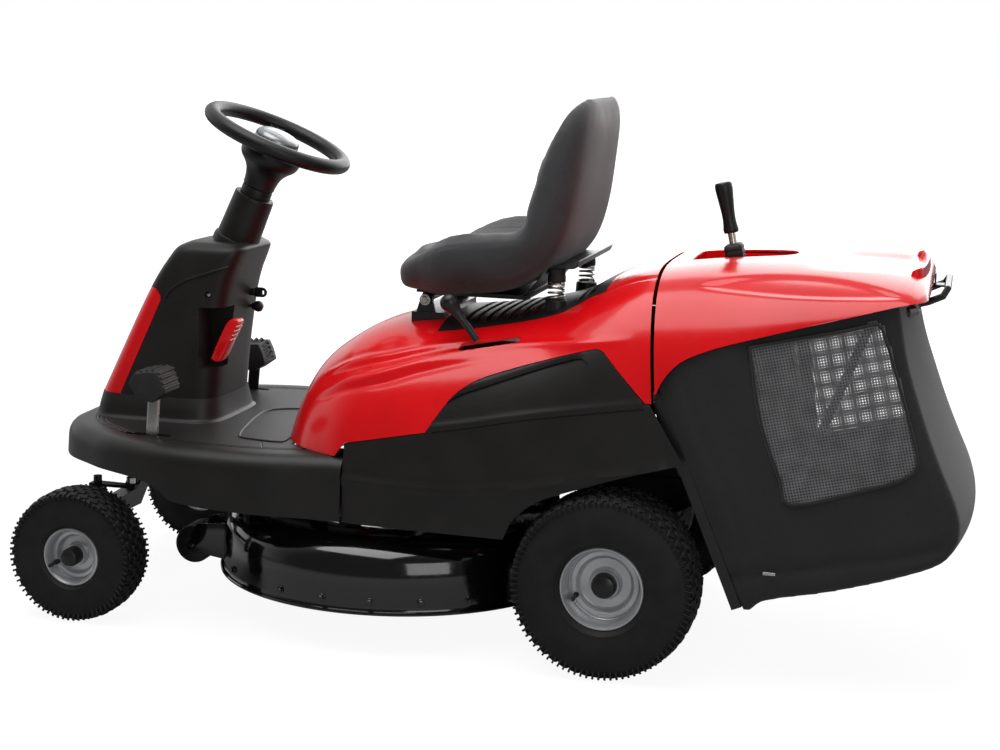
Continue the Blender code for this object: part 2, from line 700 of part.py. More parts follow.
def wheel(place, side, front):
    end = "left" if side < 0 else "right"
    where = "front" if front else "rear"
    radius, width, y, bead = (FRONT_R, FRONT_W, FRONT_Y, FRONT_RIM_R) if front else (REAR_R, REAR_W, REAR_Y, REAR_RIM_R)
    axis = hinge("%s_wheel_%s_axis" % (where, end), (place, side * y, radius))
    tyre("%s_tyre_%s" % (where, end), axis, radius, width, bead, 24 if front else 28)
    half = width / 2
    name = "%s_rim_%s" % (where, end)
    if front:
        hub_r, dish, bore = 0.022, 0.006, (STUB_R + GAP) / cos(pi / 12)
        cap = [(0.0, 0.056), (0.012, 0.055), (0.0185, 0.049), (0.0195, dish + 0.016)]
        profile = cap + rim_profile(half, bead, hub_r, dish, -0.047, bore) + [(bore, 0.0495), (0.0, 0.0495)]
    else:
        hub_r, dish = 0.028, 0.012
        shaft_end = -(y - 0.012)
        cap = [(0.0, dish + 0.040), (0.016, dish + 0.038), (0.024, dish + 0.030), (0.025, dish + 0.016)]
        profile = cap + rim_profile(half, bead, hub_r, dish, -0.060, AXLE_SHAFT_R)
        profile += [(AXLE_SHAFT_R, shaft_end), (0.0, shaft_end)]
    rim = turned(name, profile, 12, False, axis)
    rim.rotation_euler = (-side * pi / 2, 0.0, 0.0)
    return finish(rim, SILVER)


for side in (-1, 1):
    wheel(FRONT_AXLE_X, side, True)
    wheel(0.0, side, False)


# Cutting-height lever on its stand, with a ball knob and the pin that draws the lift rod
LEVER_TOP = (-0.346, 0.703)
lever_span = hypot(LEVER_TOP[0] - LEVER_X, LEVER_TOP[1] - LEVER_Z)
CRANK_X = CRANK * (LEVER_TOP[0] - LEVER_X) / lever_span
CRANK_Z = CRANK * (LEVER_TOP[1] - LEVER_Z) / lever_span
ROD_Y = -0.2525
CRANK_Y = -0.2430
LINK_PIN_R = 0.006

lever_axis = hinge("height_lever_axis", (LEVER_X, LEVER_Y, LEVER_Z))
height_lever = plate("height_lever", [stadium((LEVER_X, LEVER_Z), LEVER_TOP, 0.018, 0.007),
                                      circle((LEVER_X, LEVER_Z), 0.008 + BORE_PLAY)], 0.006, side_plane(LEVER_Y))
ball = turned("lever_ball", [(0.018 * sin(pi * i / 6), 0.018 * cos(pi * i / 6)) for i in range(7)], 10)
ball.location = (LEVER_TOP[0], LEVER_Y, LEVER_TOP[1])
link_pin = (LEVER_X + CRANK_X, LEVER_Z + CRANK_Z)
unite(height_lever, ball, rod("link_pin", (link_pin[0], LEVER_Y, link_pin[1]),
                              (link_pin[0], ROD_Y + 0.004, link_pin[1]), LINK_PIN_R, 10))
finish(ride(height_lever, lever_axis), BLACK_PAINT)

# Lift rod between two equal parallel cranks
shaft_pin = (LIFT_REAR_X + CRANK_X, LIFT_Z + CRANK_Z)
rod_axis = hinge("lift_rod_axis", (link_pin[0], ROD_Y, link_pin[1]))
lift_rod = plate("lift_rod", [stadium(link_pin, shaft_pin, 0.011), circle(link_pin, LINK_PIN_R + BORE_PLAY, 10),
                              circle(shaft_pin, LINK_PIN_R + BORE_PLAY, 10)], 0.005, side_plane(ROD_Y))
finish(ride(lift_rod, rod_axis), STEEL)

# Lift shafts in the rails' lugs, each with two arms that carry the deck
ARM_Y = 0.125
ARM_DX = LIFT_ARM * cos(LIFT_REST)
ARM_DZ = LIFT_ARM * sin(LIFT_REST)


def lift_shaft(name, x, end):
    axis = hinge(name + "_axis", (x, 0.0, LIFT_Z))
    shaft = rod(name, (x, end, LIFT_Z), (x, RAIL_OUT + 0.006, LIFT_Z), LIFT_R, 12)
    for side in (-1, 1):
        tip = (x + ARM_DX, LIFT_Z + ARM_DZ)
        arm = plate("lift_arm", [stadium((x, LIFT_Z), tip, 0.014, 0.012), circle(tip, LINK_PIN_R + BORE_PLAY, 10)],
                    0.006, side_plane(side * ARM_Y))
        unite(shaft, arm)
    return ride(shaft, axis)


front_lift = lift_shaft("front_lift_shaft", LIFT_FRONT_X, -RAIL_OUT - 0.006)
finish(front_lift, STEEL)
rear_lift = lift_shaft("rear_lift_shaft", LIFT_REAR_X, CRANK_Y)
unite(rear_lift, plate("lift_crank", [stadium((LIFT_REAR_X, LIFT_Z), shaft_pin, 0.014, 0.011)], 0.006, side_plane(CRANK_Y)),
      rod("crank_pin", (shaft_pin[0], CRANK_Y, shaft_pin[1]), (shaft_pin[0], ROD_Y - 0.004, shaft_pin[1]), LINK_PIN_R, 10))
finish(rear_lift, STEEL)

# Deck: a turned steel shell with the spindle's bearing, an outlet, lift lugs and the roller's fork
deck_axis = hinge("cutting_deck_axis", (LIFT_FRONT_X + ARM_DX, 0.0, LIFT_Z + ARM_DZ))
SPINDLE_R = 0.012
skin = DECK_T
deck_profile = [(SPINDLE_R + BORE_PLAY, 0.245), (0.040, 0.245), (0.048, DECK_TOP), (DECK_R - 0.105, 0.230),
                (DECK_R - 0.040, 0.222), (DECK_R - 0.010, 0.195), (DECK_R + 0.002, 0.150), (DECK_R, 0.092),
                (DECK_R + 0.008, 0.090), (DECK_R + 0.008, 0.085), (DECK_R - skin, 0.085),
                (DECK_R + 0.002 - skin, 0.150), (DECK_R - 0.010 - skin, 0.194), (DECK_R - 0.0415, 0.219),
                (DECK_R - 0.106, 0.227), (0.048, DECK_TOP - skin),
                (0.040, 0.215), (SPINDLE_R + BORE_PLAY, 0.215)]
deck = turned("cutting_deck", deck_profile, 22, True)
deck.location = (DECK_X, 0.0, 0.0)
cut(deck, box("deck_outlet", (DECK_X + DECK_R - 0.105, -0.125, 0.110), (DECK_X + DECK_R + 0.045, -0.017, 0.205)))
LUG_Y = 0.115
for x in (LIFT_FRONT_X + ARM_DX, LIFT_REAR_X + ARM_DX):
    for side in (-1, 1):
        top = LIFT_Z + ARM_DZ
        lug = plate("deck_lug", [[(x - 0.028, 0.2292), (x + 0.028, 0.2292), (x + 0.012, top + 0.006), (x, top + 0.013),
                                  (x - 0.012, top + 0.006)]], 0.006, side_plane(side * LUG_Y))
        pin = rod("deck_pin", (x, side * LUG_Y, top), (x, side * (ARM_Y + 0.007), top), LINK_PIN_R, 10)
        unite(deck, lug, pin)

ROLLER_X = DECK_X - DECK_R - 0.035
ROLLER_Z = 0.130
ROLLER_Y0 = -0.166
ROLLER_Y1 = -0.094
FORK_T = 0.005
for y in (ROLLER_Y0 - FORK_T / 2 - BORE_PLAY, ROLLER_Y1 + FORK_T / 2 + BORE_PLAY):
    wall_x = DECK_X - (DECK_R ** 2 - y ** 2) ** 0.5
    fork = [(ROLLER_X - 0.012, ROLLER_Z - 0.010), (ROLLER_X + 0.010, ROLLER_Z - 0.016), (wall_x, 0.105), (wall_x, 0.185),
            (ROLLER_X + 0.012, 0.178), (ROLLER_X - 0.012, ROLLER_Z + 0.012)]
    unite(deck, plate("roller_fork", [fork], FORK_T, side_plane(y)))
unite(deck, rod("roller_pin", (ROLLER_X, ROLLER_Y0 - 0.003, ROLLER_Z), (ROLLER_X, ROLLER_Y1 + 0.003, ROLLER_Z), 0.005, 10))
finish(ride(deck, deck_axis), BLACK_PAINT)

roller_axis = hinge("deck_roller_axis", (ROLLER_X, (ROLLER_Y0 + ROLLER_Y1) / 2, ROLLER_Z))
ROLLER_HALF = (ROLLER_Y1 - ROLLER_Y0) / 2
ribs = [(0.005 + BORE_PLAY, ROLLER_HALF)]
for i in range(3):
    top = ROLLER_HALF - i * ROLLER_HALF * 2 / 3
    ribs += [(0.036, top), (0.041, top - 0.004), (0.041, top - ROLLER_HALF * 2 / 3 + 0.004)]
ribs += [(0.036, -ROLLER_HALF), (0.005 + BORE_PLAY, -ROLLER_HALF)]
roller = turned("deck_roller", ribs, 12, True, roller_axis)
roller.rotation_euler = (pi / 2, 0.0, 0.0)
finish(roller, CHARCOAL)

# Blade drive: engine pulley, blade spindle with its pulley, belt and blade
PULLEY_Z0 = 0.252
PULLEY_Z1 = 0.273
PULLEY_R = 0.052
GROOVE_R = 0.044
BELT_Z0 = 0.2575
BELT_Z1 = 0.2675
groove = [(PULLEY_R, PULLEY_Z1), (PULLEY_R, BELT_Z1), (GROOVE_R, BELT_Z1), (GROOVE_R, BELT_Z0), (PULLEY_R, BELT_Z0),
          (PULLEY_R, PULLEY_Z0)]
blade_axis = hinge("blade_axis", (DECK_X, 0.0, 0.0))
BLADE_Z1 = 0.118
spindle_profile = [(0.0, 0.280), (SPINDLE_R, 0.280), (SPINDLE_R, PULLEY_Z1)] + groove
spindle_profile += [(SPINDLE_R, PULLEY_Z0), (SPINDLE_R, 0.134), (0.026, 0.134), (0.026, BLADE_Z1 + GAP),
                    (0.0, BLADE_Z1 + GAP)]
finish(turned("blade_spindle", spindle_profile, 12, False, blade_axis), STEEL)

pulley_axis = hinge("engine_pulley_axis", (ENGINE_X, 0.0, 0.0))
pulley_profile = [(0.0, ENGINE_Z - GAP), (0.015, ENGINE_Z - GAP), (0.015, PULLEY_Z1)] + groove + [(0.0, PULLEY_Z0)]
finish(turned("engine_pulley", pulley_profile, 12, False, pulley_axis), STEEL)


def racetrack(radius):
    return stadium((DECK_X, 0.0), (ENGINE_X, 0.0), radius, steps=8)


belt = plate("blade_belt", [racetrack(GROOVE_R + 0.0060), racetrack(GROOVE_R + 0.0022)], BELT_Z1 - BELT_Z0 - 2 * BORE_PLAY,
             level_plane((BELT_Z0 + BELT_Z1) / 2))
finish(belt, RUBBER)

BLADE_T = 0.006
BLADE_R = DECK_R - 0.023
blade = box("blade", (DECK_X - 0.028, -BLADE_R, BLADE_Z1 - BLADE_T), (DECK_X + 0.028, BLADE_R, BLADE_Z1))
for side in (-1, 1):
    wing = plate("blade_wing", [[(DECK_X - side * 0.010, BLADE_Z1 - 0.003), (DECK_X - side * 0.0275, BLADE_Z1 - 0.003),
                                 (DECK_X - side * 0.034, BLADE_Z1 + 0.020), (DECK_X - side * 0.030, BLADE_Z1 + 0.020)]],
                 0.110, side_plane(side * 0.300))
    unite(blade, wing)
finish(ride(blade, blade_axis), STEEL)


# Pedals on the rails' pins: a flat arm up through the footplate's slot and a tilted pad
def pedal(name, side, pad_z, paint):
    axis = hinge(name + "_axis", (PEDAL_X, side * PEDAL_Y, PEDAL_Z))
    y = side * PEDAL_Y
    pad_x = PEDAL_X + 0.006
    arm = plate(name, [stadium((PEDAL_X, PEDAL_Z), (pad_x + 0.004, pad_z - 0.012), 0.014, 0.011)], 0.006, side_plane(y))
    hub = rod("pedal_hub", (PEDAL_X, y - 0.014, PEDAL_Z), (PEDAL_X, y + 0.014, PEDAL_Z), 0.0155, 12)
    tilt = radians(32.0)
    run = Vector((-cos(tilt), 0.0, sin(tilt)))
    rise = Vector((sin(tilt), 0.0, cos(tilt)))
    pad_centre = Vector((pad_x, y, pad_z))
    ribs = []
    for i in range(-3, 4):
        along = i * 0.042 / 3
        ribs += [(along - 0.0055, 0.006), (along - 0.003, 0.0085), (along + 0.003, 0.0085), (along + 0.0055, 0.006)]
    outline = [(-0.048, -0.006)] + [(-0.048, 0.006)] + ribs + [(0.048, 0.006), (0.048, -0.006)]
    pad = plate("pedal_pad", [outline], 0.078, plane_of(run, rise, pad_centre))
    unite(arm, hub, pad)
    cut(arm, rod("pedal_bore", (PEDAL_X, y - 0.030, PEDAL_Z), (PEDAL_X, y + 0.030, PEDAL_Z), PEDAL_PIN_R + BORE_PLAY, 12))
    return finish(ride(arm, axis), paint)


pedal("brake_pedal", -1, 0.497, STEEL)
pedal("drive_pedal", 1, 0.470, BLACK_PAINT)

# Steering wheel: padded rim, three spokes and a tapered hub on the shaft's end
RIM_R = 0.1495
RIM_SECTION = 0.014
HUB_FOOT = 0.580
steering_wheel = turned("steering_wheel", [(0.0, 0.674), (0.048, 0.674), (0.060, 0.664), (0.066, 0.640), (0.060, 0.622),
                                           (0.038, 0.594), (0.035, HUB_FOOT), (SHAFT_R + GAP, HUB_FOOT),
                                           (SHAFT_R + GAP, 0.656), (0.0, 0.656)], 16, False, column)
ring = [(RIM_R + RIM_SECTION * sin(2 * pi * i / 8 + pi / 8), WHEEL_W + RIM_SECTION * cos(2 * pi * i / 8 + pi / 8))
        for i in range(8)]
unite(steering_wheel, turned("wheel_rim", ring, 24, True, column))
for angle in (0.0, radians(112.0), radians(-112.0)):
    out = Vector((cos(angle), sin(angle), 0.0))
    across = Vector((-sin(angle), cos(angle), 0.0))
    sections = []
    for r, w, half, thick in ((0.040, 0.662, 0.034, 0.008), (0.085, 0.672, 0.024, 0.007), (0.120, 0.684, 0.020, 0.006),
                              (0.1495, 0.694, 0.021, 0.006)):
        centre = out * r + Vector((0.0, 0.0, w))
        sections.append([centre + across * a + Vector((0.0, 0.0, b))
                         for a, b in ((-half, -thick), (half, -thick), (half * 0.8, thick), (-half * 0.8, thick))])
    unite(steering_wheel, loft("wheel_spoke", sections, parent=column))
finish(steering_wheel, CHARCOAL)

wheel_cap = turned("steering_wheel_cap", [(0.0, 0.690), (0.020, 0.688), (0.038, 0.682), (0.045, 0.674 + GAP),
                                          (0.0, 0.674 + GAP)], 16, False, column)
finish(wheel_cap, GREY_PLASTIC)

# Column sleeve between the console's top and the wheel's hub
SLEEVE_FOOT = 0.425
SLEEVE_TOP = HUB_FOOT - 0.003
SLEEVE_R = 0.0475
SHAFT_HOLE = SHAFT_R + 0.002
sleeve = turned("column_sleeve", [(SHAFT_HOLE, SLEEVE_TOP), (0.033, SLEEVE_TOP), (0.036, SLEEVE_TOP - 0.006),
                                  (0.037, 0.530), (0.044, 0.505), (SLEEVE_R, 0.480), (SLEEVE_R, SLEEVE_FOOT),
                                  (SHAFT_HOLE, SLEEVE_FOOT)], 16, True, column)
finish(sleeve, CHARCOAL)


# Footplate: a moulded floor with a rolled edge, skirts, pedal slots and the console's pedestal
FLOOR_END = -0.541
half_outline = [(-1.245, 0.060), (-1.236, 0.150), (-1.190, 0.235), (-1.120, 0.298), (-1.050, 0.345), (-0.930, 0.383),
                (-0.800, 0.394), (-0.700, 0.388), (-0.620, 0.368), (FLOOR_END, 0.356)]
floor_outline = [(x, -y) for x, y in half_outline] + [(x, y) for x, y in reversed(half_outline)]


def floor_ring(margin, z, end=FLOOR_END):
    return [(end if x0 == FLOOR_END else x, y, z)
            for (x, y), (x0, y0) in zip(inset(floor_outline, margin), floor_outline)]


footplate = loft("footplate", [floor_ring(0.036, FLOOR_Z), floor_ring(0.016, FLOOR_Z - 0.006),
                               floor_ring(0.002, FLOOR_Z - 0.028), floor_ring(-0.004, 0.240)])
pedestal_rings = ((0.380, -1.196, -0.858, 0.205), (0.396, -1.195, -0.866, 0.180), (0.416, -1.192, -0.884, 0.150),
                  (CONSOLE_FOOT - GAP, -1.187, -0.912, 0.128))
unite(footplate, loft("pedestal", [rounded_section(x0, x1, w, z) for z, x0, x1, w in pedestal_rings]))
hollow_end = FLOOR_END + 0.020
cut(footplate, loft("floor_hollow", [floor_ring(0.036 + SKIN, FLOOR_Z - SKIN, hollow_end),
                                     floor_ring(0.002 + SKIN, FLOOR_Z - 0.030, hollow_end), floor_ring(0.0, 0.200, hollow_end)]))
LEDGE = 0.012
hollow_heights = (0.347, 0.393, 0.413, CONSOLE_FOOT - 0.004)
hollow_rings = [rounded_section(x0 + LEDGE, x1 - LEDGE, w - LEDGE, height)
                for (z, x0, x1, w), height in zip(pedestal_rings, hollow_heights)]
hollow_rings.append([(x, y, CONSOLE_FOOT + 0.020) for x, y, z in hollow_rings[-1]])
cut(footplate, loft("pedestal_hollow", hollow_rings))
skirt_line = [(-1.300, 0.318), (-1.100, 0.325), (-0.975, 0.320), (-0.920, 0.304), (-0.880, 0.282), (-0.720, 0.272),
              (-0.500, 0.262)]
cut(footplate, plate("skirt_trim", [skirt_line + [(-0.500, 0.150), (-1.300, 0.150)]], 1.0, side_plane(0.0)))
for side in (-1, 1):
    slot = stadium((-1.068, side * PEDAL_Y), (-0.948, side * PEDAL_Y), 0.009)
    cut(footplate, plate("pedal_slot", [slot], 0.100, level_plane(FLOOR_Z)))
cut(footplate, box("battery_well", (-0.680, -0.260, 0.370), (-0.500, 0.260, 0.420)))
for side in (-1, 1):
    unite(footplate, box("floor_rib", (-0.876, side * 0.1425 - 0.004, RAIL_Z1 + GAP), (-0.700, side * 0.1425 + 0.004, 0.3895)))
finish(footplate, CHARCOAL)

# Steering console: a lofted shell with a solid top, a corner pocket for the blade lever, and a red cowl
CONSOLE_RINGS = ((CONSOLE_FOOT, -1.185, -0.915, 0.125), (0.520, -1.148, -0.908, 0.122), (0.600, -1.110, -0.898, 0.119),
                 (0.660, -1.080, -0.889, 0.117), (0.705, -1.055, -0.878, 0.115), (0.745, -1.028, -0.862, 0.111),
                 (0.765, -1.012, -0.856, 0.103), (0.776, -0.990, -0.868, 0.085))
CONSOLE_ROOF = 0.712


def console_solid(name):
    return loft(name, [rounded_section(x0, x1, w, z) for z, x0, x1, w in CONSOLE_RINGS])


def console_hollow(name):
    rings = [(0.400, -1.205 + SKIN, -0.919 - SKIN, 0.127 - SKIN)]
    rings += [(z, x0 + SKIN, x1 - SKIN, w - SKIN) for z, x0, x1, w in CONSOLE_RINGS[:4]]
    rings.append((CONSOLE_ROOF, -1.051 + SKIN, -0.876 - SKIN, 0.1147 - SKIN))
    return loft(name, [rounded_section(x0, x1, w, z) for z, x0, x1, w in rings])


def front_prism(name, seam):
    """The cowl's region: everything ahead of the slanted seam."""
    edge = [(-1.127 + seam, 0.400), (-1.127 + seam, CONSOLE_FOOT), (-1.034 + seam, 0.651), (-1.048 + seam, 0.676 + seam),
            (-1.300, 0.676 + seam), (-1.300, 0.400)]
    return plate(name, [edge], 0.400, side_plane(0.0))


POCKET = ((-0.938, -0.140, 0.520), (-0.800, -0.046, 0.636))
console = console_solid("steering_console")
hollow = console_hollow("console_hollow")
cut(hollow, box("pocket_liner", tuple(v - SKIN for v in POCKET[0]), (POCKET[1][0], POCKET[1][1] + SKIN, POCKET[1][2] + SKIN)))
cut(console, hollow, box("lever_pocket", *POCKET), front_prism("cowl_seam", 0.0015))
sleeve_seat = rod("sleeve_seat", (0, 0, SLEEVE_FOOT - GAP), (0, 0, 0.600), SLEEVE_R + 0.0012, 16, parent=column)
cut(console, sleeve_seat, rod("shaft_way", (0, 0, 0.300), (0, 0, 0.600), SHAFT_HOLE, 12, parent=column))
CHOKE = (0.050, 0.625)
KEY = (0.040, 0.658)
CHOKE_R = 0.0035
KEY_R = 0.008
cut(console, rod("choke_hole", (-0.950, *CHOKE), (-0.850, *CHOKE), CHOKE_R + GAP, 10))
cut(console, rod("key_hole", (-0.950, *KEY), (-0.850, *KEY), KEY_R + 2 * GAP, 12))
finish(console, CHARCOAL)

cowl = console_solid("front_cowl")
cut(cowl, console_hollow("cowl_hollow"))
keep(cowl, front_prism("cowl_region", 0.0))
finish(cowl, RED)

# Blade lever in the pocket, hinged at its foot on the pocket's back wall
LEVER_PIVOT = (-0.912, -0.085, 0.532)
blade_lever_axis = hinge("blade_lever_axis", LEVER_PIVOT)
blade_lever = plate("blade_lever", [[(-0.924, 0.527), (-0.902, 0.522), (-0.868, 0.592), (-0.862, 0.612), (-0.880, 0.616),
                                     (-0.890, 0.602)]], 0.034, side_plane(LEVER_PIVOT[1]))
soften(blade_lever, 0.003)
unite(blade_lever, rod("blade_lever_pin", LEVER_PIVOT, (LEVER_PIVOT[0], POCKET[1][1] - GAP, LEVER_PIVOT[2]), 0.005, 10))
finish(ride(blade_lever, blade_lever_axis), RED)


# Key and choke knob on the console's rear face
def console_back(z):
    for (z0, _, x0, _), (z1, _, x1, _) in zip(CONSOLE_RINGS, CONSOLE_RINGS[1:]):
        if z0 <= z <= z1:
            return x0 + (x1 - x0) * (z - z0) / (z1 - z0)
    return CONSOLE_RINGS[-1][2]


key_face = console_back(KEY[1]) + 0.003
key_axis = hinge("ignition_key_axis", (key_face, *KEY))
key = rod("ignition_key", (key_face - 0.010, *KEY), (key_face + 0.010, *KEY), KEY_R, 12)
bow = plate("key_bow", [stadium((key_face + 0.014, KEY[1]), (key_face + 0.024, KEY[1]), 0.011)], 0.004, side_plane(KEY[0]))
unite(key, rod("key_blade", (key_face + 0.002, *KEY), (key_face + 0.016, *KEY), 0.003, 8), bow)
finish(ride(key, key_axis), STEEL)

choke_face = console_back(CHOKE[1]) + 0.004
choke_axis = hinge("choke_knob_axis", (choke_face, *CHOKE))
choke = turned("choke_knob", [(0.0, 0.024), (0.008, 0.023), (0.012, 0.018), (0.0125, 0.010), (0.008, 0.0), (CHOKE_R, 0.0),
                              (CHOKE_R, -0.050), (0.0, -0.050)], 12, False, choke_axis)
choke.rotation_euler = (0.0, pi / 2, 0.0)
finish(choke, CHARCOAL)

# Body shell: arched sections shared by the hood, the side panels and the grille under the seat
STATIONS = ((-0.745, 0.300, 0.050, 2.2), (-0.735, 0.390, 0.130, 2.3), (-0.715, 0.455, 0.210, 2.4),
            (-0.667, 0.545, 0.280, 2.5), (-0.600, 0.600, 0.325, 2.7), (-0.5385, 0.631, 0.352, 2.8),
            (-0.450, 0.652, 0.361, 2.9), (-0.300, 0.668, 0.369, 3.2), (-0.150, 0.700, 0.371, 3.4),
            (-0.070, 0.742, 0.370, 3.6), (0.0, 0.775, 0.368, 3.7), (0.062, 0.790, 0.364, 3.8), (0.150, 0.800, 0.360, 3.9))
ARCH_POINTS = 12


def arch(x, top, half, power, foot=SHELL_FOOT, grow=0.0):
    points = []
    for i in range(ARCH_POINTS + 1):
        turn = pi * i / ARCH_POINTS
        across = abs(cos(turn)) ** (2 / power) * (1 if cos(turn) > 0 else -1)
        up = sin(turn) ** (2 / power) if 0 < i < ARCH_POINTS else 0.0
        points.append((x, across * (half + grow), foot + up * (top - foot + grow)))
    return points


def body_sheet(name):
    return thicken(loft(name, [arch(*station) for station in STATIONS], caps=False, ring_closed=False), SKIN)


SEAM = 0.0015
hood_line = [(-0.560, 0.3925), (-0.5385, 0.422), (-0.370, 0.458), (-0.325, 0.525), (-0.260, 0.572), (-0.045, 0.640),
             (-0.020, 0.640), (0.066, 0.548)]
hood_rear = [(0.078, 0.548), (0.048, 0.850)]
hood = body_sheet("engine_hood")
keep(hood, plate("hood_region", [[(-0.800, 0.3925)] + hood_line + hood_rear + [(-0.800, 0.850)]], 1.0, side_plane(0.0)))
GRILLE = ((-0.390, -0.200), (-0.045, 0.200))
cut(hood, box("grille_opening", (*GRILLE[0], 0.500), (*GRILLE[1], 0.900)))
slot_y = LEVER_Y
cut(hood, plate("lever_slot", [stadium((-0.318, slot_y), (-0.212, slot_y), 0.011)], 0.300, level_plane(0.650)))
finish(hood, RED)

panel_line = [(x, z - SEAM) for x, z in hood_line[1:]]
panel_line[-1] = (0.0660 - SEAM, 0.548 - SEAM)
wheel_arch = [(0.145, 0.435), (-0.055, 0.374), (-0.133, 0.343), (-0.190, 0.292), (-0.201, 0.262)]
panel_region = panel_line + [(0.0745, 0.5465)] + wheel_arch + [(-0.5385, 0.262)]
for side, end in ((-1, "left"), (1, "right")):
    panel = body_sheet("side_panel_" + end)
    keep(panel, plate("panel_region", [panel_region], 0.300, side_plane(side * 0.290)))
    finish(panel, CHARCOAL)

grille = body_sheet("seat_grille")
keep(grille, box("grille_region", tuple(v + GAP for v in GRILLE[0]) + (0.500,), tuple(v - GAP for v in GRILLE[1]) + (0.900,)))
for i in range(6):
    x = -0.335 + i * 0.046
    if abs(x - SPRING_X) > 0.035:
        cut(grille, box("louvre", (x - 0.008, -0.170, 0.500), (x + 0.008, 0.170, 0.900)))
SPRING_FOOT = 0.709
for side in (-1, 1):
    unite(grille, rod("spring_pad", (SPRING_X, side * SPRING_Y, 0.680), (SPRING_X, side * SPRING_Y, SPRING_FOOT - GAP), 0.024, 12))
finish(grille, CHARCOAL)


# Seat: hinge on the hood, steel pan and a padded bucket lofted along its curve
def body_volume(name):
    """The closed space under the body shell, one gap larger, to trim what stands on it."""
    return loft(name, [arch(*station, grow=GAP) for station in STATIONS])


seat_axis = hinge("seat_axis", SEAT_PIVOT)
PIN_R = 0.007
EAR_Y = 0.128
px, pz = SEAT_PIVOT[0], SEAT_PIVOT[2]
seat_hinge = box("seat_hinge", (px - 0.030, -EAR_Y - 0.006, 0.620), (px + 0.036, EAR_Y + 0.006, 0.664))
for side in (-1, 1):
    unite(seat_hinge, plate("hinge_ear", [[(px - 0.024, 0.655), (px + 0.024, 0.655), (px + 0.010, pz + 0.009), (px - 0.010, pz + 0.009)]],
                            0.006, side_plane(side * EAR_Y)))
unite(seat_hinge, rod("hinge_pin", (px, -EAR_Y - 0.012, pz), (px, EAR_Y + 0.012, pz), PIN_R, 12))
cut(seat_hinge, body_volume("hood_under_hinge"))
finish(seat_hinge, BLACK_PAINT)

PAN_Z = 0.7045
PAN_T = 0.005
seat_bracket = box("seat_bracket", (px - 0.020, -0.135, PAN_Z), (-0.215, 0.135, PAN_Z + PAN_T))
for side in (-1, 1):
    eye_y = side * (EAR_Y - 0.010)
    unite(seat_bracket, plate("seat_eye", [stadium((px, PAN_Z - 0.010), (px, pz), 0.013)], 0.010, side_plane(eye_y)),
          box("seat_slide", (px - 0.015, side * 0.090 - 0.014, PAN_Z - 0.008), (-0.230, side * 0.090 + 0.014, PAN_Z + 0.001)))
cut(seat_bracket, rod("seat_eye_bore", (px, -0.200, pz), (px, 0.200, pz), PIN_R + BORE_PLAY, 12))
finish(ride(seat_bracket, seat_axis), BLACK_PAINT)

# Along the curve: surface centre (x, z), lean of the normal from upright, depth, half width, bolster height
SEAT_STATIONS = ((-0.540, 0.748, -40, 0.030, 0.150, 0.002), (-0.498, 0.776, -22, 0.062, 0.205, 0.010),
                 (-0.430, 0.792, -4, 0.090, 0.235, 0.026), (-0.340, 0.793, -2, 0.084, 0.243, 0.042),
                 (-0.262, 0.795, -10, 0.074, 0.246, 0.056), (-0.207, 0.832, -48, 0.066, 0.244, 0.062),
                 (-0.186, 0.900, -78, 0.064, 0.237, 0.054), (-0.166, 0.985, -79, 0.060, 0.227, 0.042),
                 (-0.146, 1.072, -74, 0.050, 0.207, 0.024), (-0.118, 1.124, -40, 0.030, 0.160, 0.004))
SEAT_SECTION = ((0.0, -1.0, 0.0), (0.55, -0.98, 0.0), (0.88, -0.75, 0.0), (1.0, -0.10, 0.1), (0.97, 0.0, 0.75),
                (0.82, 0.0, 1.0), (0.64, 0.0, 0.42), (0.36, 0.0, 0.02), (0.0, 0.0, 0.0))


def seat_ring(x, z, lean, depth, half, bolster):
    normal = Vector((sin(radians(lean)), 0.0, cos(radians(lean))))
    right = [Vector((x, across * half, z)) + normal * (down * depth + up * bolster) for across, down, up in SEAT_SECTION]
    left = [Vector((p.x, -p.y, p.z)) for p in reversed(right[1:-1])]
    return right + left


seat = loft("seat", [seat_ring(*station) for station in SEAT_STATIONS])
rounding = seat.modifiers.new("rounding", "SUBSURF")
rounding.levels = 1
rounding.render_levels = 1
cut(seat, box("pan_seat", (px - 0.020 - GAP, -0.135 - GAP, PAN_Z - 0.030), (-0.215 + GAP, 0.135 + GAP, PAN_Z + PAN_T + GAP)))
finish(ride(seat, seat_axis), VINYL, 60)

# Seat springs: a steel coil under a rubber buffer
COIL_R = 0.0155
COIL_WIRE = 0.0025
COIL_TURNS = 4
COIL_POINTS = 8
COIL_TOP = SPRING_FOOT + 0.035
BUFFER_TOP = SPRING_FOOT + 0.063


def seat_spring(name, side):
    base = SPRING_FOOT + COIL_WIRE
    rise = COIL_TOP - base - COIL_WIRE
    steps = COIL_TURNS * COIL_POINTS
    points = []
    for i in range(steps + 1):
        turn = 2 * pi * i / COIL_POINTS
        points.append((SPRING_X + COIL_R * cos(turn), side * SPRING_Y + COIL_R * sin(turn), base + rise * i / steps))
    coil = tube(name, points, COIL_WIRE, resolution=1)
    unite(coil, rod("buffer", (SPRING_X, side * SPRING_Y, COIL_TOP - 0.003), (SPRING_X, side * SPRING_Y, BUFFER_TOP), 0.0185, 12))
    return finish(ride(coil, seat_axis), STEEL)


print("least gap between turns of the seat springs: %.4f m"
      % ((COIL_TOP - SPRING_FOOT - 2 * COIL_WIRE) / COIL_TURNS - 2 * COIL_WIRE))
seat_spring("seat_spring_left", -1)
seat_spring("seat_spring_right", 1)
for side in (-1, 1):
    cut(seat, rod("buffer_seat", (SPRING_X, side * SPRING_Y, 0.690), (SPRING_X, side * SPRING_Y, BUFFER_TOP + GAP), 0.0185 + 0.0010, 12))


